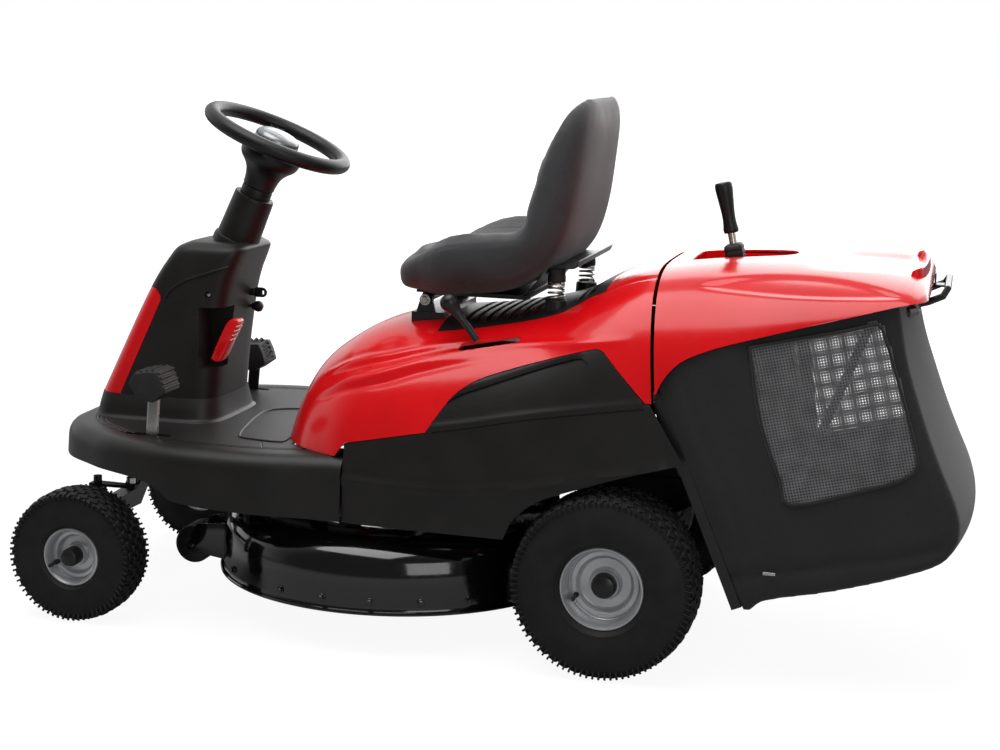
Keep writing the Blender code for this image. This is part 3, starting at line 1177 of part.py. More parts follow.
# Grass collector: it hangs by its front bar in the rear plate's hooks and tips rear end up
tip_axis = hinge("collector_axis", TIP_PIVOT)
COVER_STATIONS = ((0.050, 0.788, 0.3645, 3.78, SHELL_FOOT), (0.150, 0.801, 0.362, 3.6, 0.330),
                  (0.300, 0.811, 0.356, 2.9, 0.600), (0.430, 0.813, 0.349, 2.7, 0.690),
                  (0.520, 0.809, 0.344, 2.6, 0.733), (0.556, 0.800, 0.339, 2.6, 0.738),
                  (0.574, 0.785, 0.333, 2.6, 0.725), (0.580, 0.740, 0.318, 2.6, 0.690))
cover_edge = [(0.084, 0.563), (0.127, 0.628), (0.219, 0.668), (0.347, 0.708), (0.552, 0.764), (0.640, 0.764)]
cover = loft("collector_cover", [arch(*station) for station in COVER_STATIONS], caps=False, ring_closed=False)
thicken(cover, SKIN)
cover_region = [(0.0835, 0.563)] + cover_edge[1:] + [(0.640, 0.900), (0.055, 0.860)]
keep(cover, plate("cover_region", [cover_region], 1.0, side_plane(0.0)))
POCKET_X = (0.100, 0.310)
POCKET_Y = 0.090
pan = plate("cover_pan", [[(0.096, 0.768), (0.314, 0.768), (0.314, 0.809), (0.096, 0.793)]], 2 * POCKET_Y + 0.008, side_plane(0.0))
unite(cover, pan)
cut(cover, box("cover_pocket", (POCKET_X[0], -POCKET_Y, 0.772), (POCKET_X[1], POCKET_Y, 0.900)))

LEVER_HEAD = Vector((0.148, 0.0, 0.947))
LEVER_FOOT = Vector((0.179, 0.0, 0.806))
slide_way = (LEVER_HEAD - LEVER_FOOT).normalized()
STEM_R = 0.008


def on_lever(height):
    """A point of the tipping lever's axis at a height above its grip's foot, along the axis."""
    return LEVER_FOOT + slide_way * height


for x in (0.200, 0.440):
    for side in (-1, 1):
        clip = box("cover_clip", (x - 0.010, side * FRAME_Y - 0.007, TIP_PIVOT[2] + FRAME_TUBE + GAP), (x + 0.010, side * FRAME_Y + 0.007, 0.850))
        unite(cover, keep(clip, loft("cover_volume", [arch(*station, grow=-0.001) for station in COVER_STATIONS])))
unite(cover, rod("lever_boot", on_lever(-0.036), on_lever(0.010), 0.034, 16, 0.017))
cut(cover, rod("stem_way", on_lever(-0.100), on_lever(0.100), STEM_R + BORE_PLAY, 12))
finish(ride(cover, tip_axis), RED)

lever_axis = hinge("tip_lever_axis", LEVER_FOOT)
tip_lever = rod("tip_lever", on_lever(-0.270), on_lever(0.120), STEM_R, 12)
grip = rod("lever_grip", on_lever(0.040), on_lever((LEVER_HEAD - LEVER_FOOT).length), 0.015, 14, 0.0175)
unite(tip_lever, soften(grip, 0.004))
finish(ride(tip_lever, lever_axis), CHARCOAL)

# Tube frame: the front bar turns in the hooks, the rear bar carries the handle
FRAME_Z = TIP_PIVOT[2]
FRAME_REAR = 0.548
corner = 0.040


def rounded_loop(x0, x1, half, z):
    points = []
    for cx, cy, start in ((x1 - corner, half - corner, 0.0), (x0 + corner, half - corner, pi / 2),
                          (x0 + corner, corner - half, pi), (x1 - corner, corner - half, 1.5 * pi)):
        for i in range(3):
            turn = start + pi / 2 * i / 2
            points.append((cx + corner * cos(turn), cy + corner * sin(turn), z))
    return points


collector_frame = tube("collector_frame", rounded_loop(TIP_PIVOT[0], FRAME_REAR, FRAME_Y, FRAME_Z), FRAME_TUBE, cyclic=True)
HANDLE_Y = 0.115
HANDLE_X = 0.606
handle = tube("rear_handle", [(FRAME_REAR, -HANDLE_Y, FRAME_Z), (0.572, -HANDLE_Y, 0.742), (0.598, -HANDLE_Y, 0.754), (HANDLE_X, -HANDLE_Y + 0.012, 0.768),
                              (HANDLE_X, HANDLE_Y - 0.012, 0.768), (0.598, HANDLE_Y, 0.754), (0.572, HANDLE_Y, 0.742), (FRAME_REAR, HANDLE_Y, FRAME_Z)], 0.007)
unite(collector_frame, handle)
finish(ride(collector_frame, tip_axis), BLACK_PAINT)

# Mouth frame: a U of square tube along the bag's open front
MOUTH_OUT = 0.018
MOUTH_T = 0.020
post_out = 0.332
post_in = 0.304
mouth_low = (0.150 - REAR_PLATE_Z) / cos(REAR_ANGLE)
mouth_top = 0.004
mouth_outline = [(-post_out, mouth_top), (-post_out, mouth_low), (post_out, mouth_low), (post_out, mouth_top), (post_in, mouth_top),
                 (post_in, mouth_low + 0.024), (-post_in, mouth_low + 0.024), (-post_in, mouth_top)]
mouth = plate("collector_mouth", [mouth_outline], MOUTH_T, slanted_plane(MOUTH_OUT))
finish(ride(mouth, tip_axis), BLACK_PAINT)

# Bag: a fabric shell, open at the mouth and under the cover
BAG_T = 0.005
bag_front = MOUTH_OUT + MOUTH_T / 2 + GAP
bag_rear = [(0.542, 0.8085), (0.585, 0.664), (0.649, 0.501), (0.684, 0.440), (0.691, 0.395), (0.682, 0.345), (0.646, 0.283),
            (0.558, 0.236), (0.300, 0.171), (0.284, 0.150)]
bag_outline = [(slant_x(0.150, -0.020), 0.150), (slant_x(0.640, -0.020), 0.640), (0.120, 0.700)] + bag_rear
bag = plate("grass_bag", [bag_outline], 2 * COLLECTOR_HALF, side_plane(0.0))
soften(bag, 0.014, 2, 60.0)
bag_lid = [(x, z - 0.0025) for x, z in cover_edge] + [(0.640, 0.900), (0.0, 0.900), (0.0, 0.455)]
cut(bag, plate("bag_top_trim", [bag_lid], 1.0, side_plane(0.0)))
mouth_trim = [(-0.500, -0.800), (0.500, -0.800), (0.500, 0.400), (-0.500, 0.400)]
cut(bag, plate("bag_front_trim", [mouth_trim], 0.200, slanted_plane(bag_front - 0.100)))
inner_rear = inset(bag_rear[::-1], BAG_T)
inner_outline = [(0.5095, 0.900)] + inner_rear[::-1][1:-1] + [(0.276, 0.158), (0.200, 0.158), (-0.050, 0.700), (0.050, 0.900)]
cut(bag, plate("bag_hollow", [inner_outline], 2 * (COLLECTOR_HALF - BAG_T), side_plane(0.0)))
cut(bag, box("handle_notch", (0.500, -HANDLE_Y - 0.012, 0.724), (0.640, HANDLE_Y + 0.012, 0.800)))
finish(ride(bag, tip_axis), FABRIC)
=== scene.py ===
"""Riding lawn mower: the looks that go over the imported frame.

Pieces are drawn from the rear axle, as the solids are: x runs rearward, y runs to the machine's right
and z rises from the ground. dress() moves each finished piece to the frame's own origin.
"""

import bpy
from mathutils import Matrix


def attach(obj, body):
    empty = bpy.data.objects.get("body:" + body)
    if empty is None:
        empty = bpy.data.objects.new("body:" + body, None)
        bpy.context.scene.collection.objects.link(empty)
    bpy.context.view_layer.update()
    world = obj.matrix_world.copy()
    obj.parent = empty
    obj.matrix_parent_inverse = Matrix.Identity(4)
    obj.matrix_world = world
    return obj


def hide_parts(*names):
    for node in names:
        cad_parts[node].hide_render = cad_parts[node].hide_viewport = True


bl_info = {
    "name": "Riding mower looks",
    "version": (1, 0, 0),
    "blender": (4, 5, 0),
    "location": "3D View > Sidebar > Mower",
    "description": "Moulded panels, turf tyres, seat, deck and grass collector over the packed frame",
    "category": "Object",
}

from math import atan2, cos, hypot, pi, radians, sin, sqrt

import bpy
import numpy as np
from bpy.props import FloatProperty, FloatVectorProperty, IntProperty, PointerProperty
from mathutils import Matrix, Vector

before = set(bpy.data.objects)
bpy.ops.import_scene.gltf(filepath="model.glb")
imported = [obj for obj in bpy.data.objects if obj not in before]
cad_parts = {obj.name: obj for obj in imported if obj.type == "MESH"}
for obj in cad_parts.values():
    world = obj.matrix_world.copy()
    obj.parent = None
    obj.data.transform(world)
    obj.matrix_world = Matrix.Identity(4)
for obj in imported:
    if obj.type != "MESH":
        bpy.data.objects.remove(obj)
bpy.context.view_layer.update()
AXLE_X = 0.286
GAP = 0.0003
SIDES = ((-1, "left"), (1, "right"))


def linear(code):
    """A hex colour as linear red, green, blue and alpha; a colour that is linear already stays as it is."""
    if not isinstance(code, str):
        return tuple(code)
    parts = [int(code[i:i + 2], 16) / 255 for i in (1, 3, 5)]
    return tuple(v / 12.92 if v <= 0.04045 else ((v + 0.055) / 1.055) ** 2.4 for v in parts) + (1.0,)


# Handling of pieces
def clear():
    if bpy.context.mode != "OBJECT":
        bpy.ops.object.mode_set(mode="OBJECT")
    bpy.ops.object.select_all(action="DESELECT")


def pick(obj):
    clear()
    obj.select_set(True)
    bpy.context.view_layer.objects.active = obj
    return obj


def named(name):
    obj = bpy.context.object
    obj.name = name
    obj.data.name = name
    return obj


def modify(obj, kind, **settings):
    """Adds a modifier and applies it."""
    pick(obj)
    step = obj.modifiers.new(kind.lower(), kind)
    for key, value in settings.items():
        setattr(step, key, value)
    bpy.ops.object.modifier_apply(modifier=step.name)
    return obj


def closed(obj, distance=0.00002):
    """Merges doubles and turns the faces outwards."""
    pick(obj)
    bpy.ops.object.mode_set(mode="EDIT")
    bpy.ops.mesh.select_all(action="SELECT")
    bpy.ops.mesh.remove_doubles(threshold=distance)
    bpy.ops.mesh.normals_make_consistent(inside=False)
    bpy.ops.object.mode_set(mode="OBJECT")
    return obj


def drawn(name, points, edges=(), faces=()):
    mesh = bpy.data.meshes.new(name)
    mesh.from_pydata([tuple(p) for p in points], edges, faces)
    obj = bpy.data.objects.new(name, mesh)
    bpy.context.scene.collection.objects.link(obj)
    return pick(obj)


def skin(name, rows, ends=False):
    """A sheet through rows of points, from a grid; ends closes the first and last row."""
    clear()
    across = len(rows[0])
    bpy.ops.mesh.primitive_grid_add(x_subdivisions=across - 1, y_subdivisions=len(rows) - 1)
    obj = named(name)
    points = [p for row in rows for p in row]
    for vertex, point in zip(obj.data.vertices, points, strict=True):
        vertex.co = point
    if ends:
        closed(obj)
        bpy.ops.object.mode_set(mode="EDIT")
        bpy.ops.mesh.select_all(action="DESELECT")
        bpy.ops.mesh.select_non_manifold()
        bpy.ops.mesh.edge_face_add()
        bpy.ops.object.mode_set(mode="OBJECT")
    return closed(obj)


def spun(name, profile, steps=64, place=Matrix(), loop=False):
    """A profile of (radius, height) turned about Z, then put in place."""
    edges = [(i, i + 1) for i in range(len(profile) - 1)]
    if loop:
        edges.append((len(profile) - 1, 0))
    obj = drawn(name, [(r, 0.0, h) for r, h in profile], edges)
    bpy.ops.object.mode_set(mode="EDIT")
    bpy.ops.mesh.select_all(action="SELECT")
    bpy.ops.mesh.spin(steps=steps, angle=2 * pi, center=(0, 0, 0), axis=(0, 0, 1))
    bpy.ops.object.mode_set(mode="OBJECT")
    closed(obj)
    obj.data.transform(place)
    return obj


def hex_bolt(name, washer, head, place):
    """A round washer under a six-sided head; both are profiles of (radius, height)."""
    bolt = joined(spun(name, washer, 24), spun("head", head, 6))
    bolt.data.transform(place)
    return bolt


def slab(name, outline, thickness, place, bevel=0.0, segments=2):
    """A flat outline of a thickness, centred on its plane, with rounded edges."""
    obj = drawn(name, [(u, v, -thickness / 2) for u, v in outline], faces=[list(range(len(outline)))])
    bpy.ops.object.mode_set(mode="EDIT")
    bpy.ops.mesh.select_all(action="SELECT")
    bpy.ops.mesh.extrude_region_move(TRANSFORM_OT_translate={"value": (0, 0, thickness)})
    bpy.ops.object.mode_set(mode="OBJECT")
    closed(obj)
    if bevel:
        modify(obj, "BEVEL", width=bevel, segments=segments, limit_method="ANGLE", angle_limit=radians(50))
    obj.data.transform(place)
    return obj


def block(name, low, high, bevel=0.002, segments=3):
    clear()
    bpy.ops.mesh.primitive_cube_add(size=1.0)
    obj = named(name)
    low, high = Vector(low), Vector(high)
    obj.data.transform(Matrix.Translation((low + high) / 2) @ Matrix.Diagonal((*(high - low), 1.0)))
    if bevel:
        modify(obj, "BEVEL", width=bevel, segments=segments)
    return obj


def rod(name, start, end, radius, radius_end=None, steps=24, bevel=0.0):
    start, end = Vector(start), Vector(end)
    clear()
    bpy.ops.mesh.primitive_cone_add(vertices=steps, radius1=radius, depth=(end - start).length,
                                    radius2=radius if radius_end is None else radius_end)
    obj = named(name)
    if bevel:
        modify(obj, "BEVEL", width=bevel, segments=3, limit_method="ANGLE", angle_limit=radians(50))
    turn = (end - start).to_track_quat("Z", "Y").to_matrix().to_4x4()
    obj.data.transform(Matrix.Translation((start + end) / 2) @ turn)
    return obj


def pipe(name, path, radius, loop=False, sides=4):
    """A round tube along a path."""
    curve = bpy.data.curves.new(name, "CURVE")
    curve.dimensions = "3D"
    curve.bevel_depth = radius
    curve.bevel_resolution = sides
    curve.use_fill_caps = not loop
    spline = curve.splines.new("POLY")
    spline.points.add(len(path) - 1)
    for knot, point in zip(spline.points, path):
        knot.co = (*point, 1.0)
    spline.use_cyclic_u = loop
    obj = bpy.data.objects.new(name, curve)
    bpy.context.scene.collection.objects.link(obj)
    pick(obj)
    bpy.ops.object.convert(target="MESH")
    return closed(named(name))


def smooth_path(points, steps, loop=False):
    """Points of a Catmull-Rom curve through the given ones."""
    points = [Vector(p) for p in points]
    count = len(points)
    path = []
    for i in range(count if loop else count - 1):
        if loop:
            a, b, c, d = (points[(i + k) % count] for k in (-1, 0, 1, 2))
        else:
            b, c = points[i], points[i + 1]
            a = points[i - 1] if i else b * 2 - c
            d = points[i + 2] if i + 2 < count else c * 2 - b
        for k in range(steps):
            t = k / steps
            path.append(0.5 * (2 * b + (c - a) * t + (2 * a - 5 * b + 4 * c - d) * t * t
                               + (3 * b - a - 3 * c + d) * t ** 3))
    if not loop:
        path.append(points[-1])
    return path


def cut(obj, *tools, operation="DIFFERENCE"):
    for tool in tools:
        modify(obj, "BOOLEAN", operation=operation, solver="EXACT", object=tool)
        bpy.data.meshes.remove(tool.data)
    return obj


def trimmed(obj, outline, width=1.0, y=0.0):
    """Keeps what lies inside a side outline, over a width about a plane."""
    return cut(obj, slab("region", outline, width, side_view(y)), operation="INTERSECT")


def joined(obj, *others):
    pick(obj)
    for other in others:
        other.select_set(True)
    bpy.ops.object.join()
    return obj


def pressed(obj, path, depth, width, fade=0.0):
    """Sinks a line into a surface along a path, fading at its ends; a depth below nought raises it."""
    vertices = obj.data.vertices
    spots, normals = np.empty(3 * len(vertices)), np.empty(3 * len(vertices))
    vertices.foreach_get("co", spots)
    vertices.foreach_get("normal", normals)
    spots, normals = spots.reshape(-1, 3), normals.reshape(-1, 3)
    near, run = np.ones(len(spots)), np.zeros(len(spots))
    for i, (start, end) in enumerate(zip(path, path[1:])):
        start = np.array(start)
        way = np.array(end) - start
        part = np.clip((spots - start) @ way / max(way @ way, 1e-12), 0.0, 1.0)
        gap = np.linalg.norm(spots - start - part[:, None] * way, axis=1)
        run = np.where(gap < near, (i + part) / (len(path) - 1), run)
        near = np.minimum(near, gap)
    reach = depth * np.exp(-(near / width) ** 2)
    if fade:
        reach *= np.clip(np.minimum(run, 1 - run) / fade, 0.0, 1.0)
    spots -= normals * reach[:, None]
    vertices.foreach_set("co", spots.ravel())
    obj.data.update()


def soft_step(value):
    value = min(1.0, max(0.0, value))
    return value * value * (3 - 2 * value)


def side_view(y):
    """Plane of a side outline (x, z) at a given y."""
    return Matrix(((1, 0, 0, 0), (0, 0, -1, y), (0, 1, 0, 0), (0, 0, 0, 1)))


def level_view(z):
    return Matrix.Translation((0, 0, z))


def dress(obj, body, finish, *nodes, angle=35.0):
    """Puts a piece in its place, on its body and in its finish; nodes are the solids it replaces."""
    obj.data.transform(Matrix.Translation((AXLE_X, 0, 0)))
    pick(obj)
    bpy.ops.object.shade_smooth_by_angle(angle=radians(angle))
    obj.data.materials.clear()
    obj.data.materials.append(FINISH[finish])
    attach(obj, body)
    if nodes:
        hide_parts(*nodes)
    return obj


# Finishes: each is a Principled surface on Object coordinates, in metres
def feed(tree, item, inputs):
    """Sets the sockets of a node, each to a value or to another node's output."""
    for key, value in inputs.items():
        if isinstance(value, bpy.types.NodeSocket):
            tree.links.new(value, item.inputs[key])
        else:
            item.inputs[key].default_value = value


def add_node(tree, kind, inputs=None, **settings):
    item = tree.nodes.new(kind)
    for key, value in settings.items():
        setattr(item, key, value)
    feed(tree, item, inputs or {})
    return item


def noise(tree, where, scale, detail):
    return add_node(tree, "ShaderNodeTexNoise",
                    {"Vector": where, "Scale": scale, "Detail": detail}).outputs["Fac"]


def remap(tree, value, **limits):
    """A value moved to another range; from_min, from_max, to_min and to_max are 0 to 1 unless given."""
    ends = {key.replace("_", " ").title(): limit for key, limit in limits.items()}
    return add_node(tree, "ShaderNodeMapRange", {"Value": value, **ends}).outputs["Result"]


def blend(tree, share, first, second):
    """Two colours mixed by a share."""
    return add_node(tree, "ShaderNodeMix", {0: share, 6: first, 7: second}, data_type="RGBA").outputs[2]


def bump(tree, height, strength, depth):
    inputs = {"Height": height, "Strength": strength, "Distance": depth}
    return add_node(tree, "ShaderNodeBump", inputs).outputs["Normal"]


def combined(tree, first, second, operation="MULTIPLY"):
    return add_node(tree, "ShaderNodeMath", {0: first, 1: second}, operation=operation).outputs[0]


def blank(name):
    material = bpy.data.materials.new(name)
    material.use_nodes = True
    tree = material.node_tree
    where = add_node(tree, "ShaderNodeTexCoord").outputs["Object"]
    return material, tree, tree.nodes["Principled BSDF"], where


def surface(name, colour, shade, roughness, grain_mm, grain_depth_mm, patch_mm=60.0, metallic=0.0,
            coat=0.0, ior=1.5, spread=0.06, shine=0.5):
    """A plain finish: colour drifts to shade in soft patches, and a fine grain gives bump and sheen."""
    material, tree, shader, where = blank(name)
    patches = noise(tree, where, 1000 / patch_mm, 3.0)
    drift = remap(tree, patches, from_min=0.35, from_max=0.65)
    tint = blend(tree, drift, linear(colour), linear(shade))
    grain = noise(tree, where, 1000 / grain_mm, 2.0)
    sheen = remap(tree, grain, from_min=0.3, from_max=0.7, to_min=roughness - spread,
                  to_max=roughness + spread)
    feed(tree, shader, {"Base Color": tint, "Roughness": sheen,
                        "Normal": bump(tree, grain, 1.0, grain_depth_mm / 1000), "Metallic": metallic,
                        "IOR": ior, "Specular IOR Level": shine, "Coat Weight": coat, "Coat Roughness": 0.06})
    return material


def leathercloth(name, colour, shade, painted_crease_shade="#242426"):
    """Embossed vinyl: pebbles about 2 mm across between shallow creases, with a soft sheen; the creases carry
    painted shade, a darker colour.
    """
    material, tree, shader, where = blank(name)
    pebble = add_node(tree, "ShaderNodeTexVoronoi", {"Vector": where, "Scale": 420.0},
                      feature="DISTANCE_TO_EDGE").outputs["Distance"]
    crease = remap(tree, pebble, from_max=0.12)
    tint = blend(tree, noise(tree, where, 11.0, 3.0), linear(colour), linear(shade))
    # Painted shade: the creases between the pebbles take a darker colour
    feed(tree, shader, {"Base Color": blend(tree, crease, linear(painted_crease_shade), tint),
                        "Roughness": remap(tree, crease, to_min=0.72, to_max=0.52),
                        "Normal": bump(tree, crease, 0.6, 0.0004), "Sheen Weight": 0.15})
    return material


def woven(name, colour, thread, spacing_mm):
    """Coated cloth: threads cross along the height and along the run, drawn wider than real to show."""
    material, tree, shader, where = blank(name)
    pitch = 2 * pi / (spacing_mm / 1000) / 20
    turn = add_node(tree, "ShaderNodeMapping", {"Vector": where, "Rotation": (0.0, 0.0, radians(45))})
    along, over = [add_node(tree, "ShaderNodeTexWave", {"Vector": vector, "Scale": pitch},
                            bands_direction=axis).outputs["Fac"]
                   for vector, axis in ((where, "Z"), (turn.outputs["Vector"], "X"))]
    weave = combined(tree, along, over)
    fade = combined(tree, weave, noise(tree, where, 9.0, 4.0))
    feed(tree, shader, {"Base Color": blend(tree, fade, linear(colour), linear(thread)),
                        "Normal": bump(tree, weave, 0.5, 0.0005), "Roughness": 0.78, "Sheen Weight": 0.2})
    return material


def colour_choice(name, description, code):
    """A colour that a user would change, given by its hex code."""
    return FloatVectorProperty(name=name, description=description, default=linear(code), size=4, min=0.0,
                               max=1.0, subtype="COLOR")


class MowerColours(bpy.types.PropertyGroup):
    """Main colours, each with the shade that it drifts to in soft patches."""

    shell: colour_choice("Shell", "Glossy hood, front cowl, blade lever and collector cover", "#DC0D15")
    shell_shade: colour_choice("Shell shade", "Shade of the shell in soft patches", "#CF0A12")
    moulded: colour_choice("Panels", "Grained side panels, grille, floor, console and column sleeve",
                           "#1D1B1A")
    moulded_shade: colour_choice("Panel shade", "Shade of the panels in soft patches", "#181615")
    wheels: colour_choice("Wheels", "Silver paint of the rims", "#C6C7C9")
    wheels_shade: colour_choice("Wheel shade", "Shade of the rims in soft patches", "#B4B5B8")
    seat: colour_choice("Seat", "Embossed vinyl of the seat", "#343437")
    seat_shade: colour_choice("Seat shade", "Shade of the vinyl in soft patches", "#2C2C2F")


FINISH = {}


def mix_finishes():
    """Makes every finish of the machine once."""
    main = bpy.context.scene.mower_colours
    # Injection-moulded ABS with a high gloss: clear reflections with a faint orange peel
    FINISH["shell"] = surface("gloss_abs_red", main.shell, main.shell_shade, 0.20, 9.0, 0.03, 180,
                              coat=0.10, ior=1.50, spread=0.03, shine=0.40)
    # Grained polypropylene: a broad soft sheen over a fine spark texture
    FINISH["moulded"] = surface("grained_polypropylene", main.moulded, main.moulded_shade, 0.44, 1.6, 0.10,
                                90, ior=1.49, shine=0.32)
    # Smooth moulded nylon for knobs, grips and sleeves
    FINISH["nylon"] = surface("smooth_nylon", "#151516", "#101011", 0.36, 2.5, 0.05, 50, ior=1.53, shine=0.4)
    # Foamed polyurethane skin of the steering wheel
    FINISH["foam_skin"] = surface("polyurethane_skin", "#111112", "#0D0D0E", 0.42, 1.4, 0.12, 40, ior=1.5,
                                  shine=0.4)
    # Powder coat on steel tube and plate
    FINISH["powder"] = surface("black_powder_coat", "#141415", "#0E0E0F", 0.34, 2.2, 0.06, 45, ior=1.5)
    # Baked gloss enamel on the pressed deck
    FINISH["enamel"] = surface("black_enamel", "#0C0C0D", "#090909", 0.12, 14.0, 0.03, 120, coat=0.6,
                               ior=1.5, spread=0.04)
    # Silver wheel paint over pressed steel: fine flakes and a satin sheen
    FINISH["wheel_silver"] = surface("silver_wheel_paint", main.wheels, main.wheels_shade, 0.36, 1.2, 0.03,
                                     70, metallic=0.75)
    # Bright zinc plating on springs, rods and arms
    FINISH["zinc"] = surface("bright_zinc", "#CBCAC5", "#B5B4AE", 0.26, 1.5, 0.03, 25, metallic=1.0)
    # Lacquered trim of the wheel's centre
    FINISH["trim_silver"] = surface("silver_lacquer", "#98999B", "#86888A", 0.30, 1.5, 0.02, 40, metallic=0.8)
    # Natural rubber tread and walls with mould marks
    FINISH["tyre"] = surface("turf_tyre_rubber", "#161514", "#0F0E0E", 0.62, 2.0, 0.14, 35, ior=1.52,
                             shine=0.30)
    FINISH["rubber"] = surface("black_rubber", "#18181A", "#111112", 0.62, 2.0, 0.10, 30, ior=1.52)
    # Sand-cast aluminium of the engine and gearbox
    FINISH["casting"] = surface("cast_aluminium", "#8D8E90", "#76787B", 0.52, 2.6, 0.25, 40, metallic=0.9)
    # Blow-moulded tank, milky polyethylene
    FINISH["tank"] = surface("milky_polyethylene", "#D9D8CF", "#CBCABF", 0.45, 5.0, 0.05, 90, ior=1.5)
    FINISH["vinyl"] = leathercloth("embossed_vinyl", main.seat, main.seat_shade)
    FINISH["bag_cloth"] = woven("coated_bag_cloth", "#0F0F10", "#1D1D1F", 3.0)
    FINISH["net"] = surface("bag_net_yarn", "#6C6C6E", "#5A5A5C", 0.60, 3.0, 0.10, 30, shine=0.4)


# Body shell: arched sections from nose to tail, shared by the hood, side panels and grille
SHELL_FOOT = 0.255
SPRING_X = -0.157
SPRING_Y = 0.150
SPRING_FOOT = 0.709
BODY = ((-0.745, 0.300, 0.050, 2.2), (-0.735, 0.390, 0.130, 2.3), (-0.715, 0.455, 0.210, 2.4),
        (-0.667, 0.545, 0.280, 2.5), (-0.600, 0.600, 0.325, 2.7), (-0.5385, 0.631, 0.352, 2.8),
        (-0.450, 0.652, 0.361, 2.9), (-0.300, 0.668, 0.369, 3.2), (-0.150, 0.700, 0.371, 3.4),
        (-0.070, 0.742, 0.370, 3.6), (0.000, 0.775, 0.368, 3.7), (0.062, 0.790, 0.364, 3.8),
        (0.150, 0.800, 0.360, 3.9))
BODY_ROWS = smooth_path(BODY, 12)


def arch(x, top, half, power, foot=SHELL_FOOT, steps=56, grow=0.0):
    points = []
    for i in range(steps + 1):
        turn = pi * i / steps
        across = abs(cos(turn)) ** (2 / power) * (1 if cos(turn) > 0 else -1)
        up = sin(turn) ** (2 / power) if 0 < i < steps else 0.0
        points.append((x, across * (half + grow), foot + up * (top - foot + grow)))
    return points


def body_section(x):
    """Top, half width and power of the body's section at a place along it."""
    for low, high in zip(BODY_ROWS, BODY_ROWS[1:]):
        if low[0] <= x <= high[0]:
            part = (x - low[0]) / (high[0] - low[0])
            return [low[k] + (high[k] - low[k]) * part for k in (1, 2, 3)]
    return list(BODY_ROWS[-1][1:])


def body_top(x, y):
    """Height of the shell over a point of the ground."""
    top, half, power = body_section(x)
    return SHELL_FOOT + (top - SHELL_FOOT) * max(0.0, 1 - abs(y / half) ** power) ** (1 / power)


def body_side(x, z):
    """Half width of the shell at a place seen from the side."""
    top, half, power = body_section(x)
    return half * max(0.0, 1 - ((z - SHELL_FOOT) / (top - SHELL_FOOT)) ** power) ** (1 / power)


def body_sheet(name, thickness=0.004, grow=0.0, steps=56, lines=()):
    """The shell as a sheet; lines are raised or sunk into it before it gets its thickness."""
    sheet = skin(name, [arch(*row, grow=grow, steps=steps) for row in BODY_ROWS])
    for path, *shape in lines:
        pressed(sheet, path, *shape)
    return modify(sheet, "SOLIDIFY", thickness=thickness, offset=-1.0)


def flat_path(points, steps):
    return [(p[0], p[1]) for p in smooth_path([(x, z, 0.0) for x, z in points], steps)]


RISE = flat_path(((-0.368, 0.458), (-0.345, 0.494), (-0.318, 0.531), (-0.285, 0.557), (-0.240, 0.578),
                  (-0.142, 0.611), (-0.050, 0.6390), (-0.033, 0.6415), (-0.021, 0.637)), 4)
HOOD_LINE = [(-0.560, 0.3925), (-0.5385, 0.422)] + RISE + [(0.066, 0.548)]
SEAM = 0.0015


class MOWER_OT_hood(bpy.types.Operator):
    """Glossy hood with its seams, grooves and the lever's slot"""

    bl_idname = "mower.hood"
    bl_label = "Engine hood"

    def execute(self, context):
        lines = []
        groove = flat_path(((-0.640, 0.232), (-0.590, 0.264), (-0.540, 0.281), (-0.470, 0.287),
                            (-0.400, 0.283), (-0.320, 0.280), (-0.240, 0.282)), 6)
        for side in (-1, 1):
            for shift in (0.0, 0.034):
                for aside, *shape in ((0.0, -0.0045, 0.0110, 0.30), (0.013, 0.0030, 0.0080, 0.30)):
                    path = [(x, side * (y - shift + aside)) for x, y in groove]
                    lines.append(([(x, y, body_top(x, y)) for x, y in path], *shape))
            ridge = flat_path(((-0.560, 0.520), (-0.480, 0.556), (-0.399, 0.586), (-0.346, 0.603),
                               (-0.225, 0.628), (-0.072, 0.648), (0.040, 0.664)), 6)
            lines.append(([(x, side * body_side(x, z), z) for x, z in ridge], -0.0040, 0.0100, 0.15))
            tail = [(x, side * 0.205, body_top(x, 0.205)) for x in (-0.060, -0.030, 0.000, 0.030, 0.060)]
            lines.append((tail, 0.0030, 0.0060))
        hood = body_sheet("hood", steps=220, lines=lines)
        region = [(-0.800, 0.3925)] + HOOD_LINE + [(0.078, 0.548), (0.048, 0.850), (-0.800, 0.850)]
        trimmed(hood, region)
        cut(hood, block("grille_way", (-0.390, -0.200, 0.500), (-0.045, 0.200, 0.900), 0.0))
        cut(hood,
            slab("lever_way", stadium((-0.318, -0.262), (-0.212, -0.262), 0.011), 0.300, level_view(0.650)))
        dress(hood, "chassis", "shell", "engine_hood")
        return {"FINISHED"}


def stadium(first, second, radius, steps=10):
    """A slot's outline round two centres."""
    (x0, y0), (x1, y1) = first, second
    lean = atan2(y1 - y0, x1 - x0)
    points = []
    for cx, cy, start in ((x1, y1, lean - pi / 2), (x0, y0, lean + pi / 2)):
        for i in range(steps + 1):
            turn = start + pi * i / steps
            points.append((cx + radius * cos(turn), cy + radius * sin(turn)))
    return points


def surface_band(name, outline, side, depth):
    """The outer layer of the shell inside a side outline, as a tool for a shallow recess."""
    layer = body_sheet(name, depth + 0.003, 0.003)
    return trimmed(layer, outline, 0.300, side * 0.290)


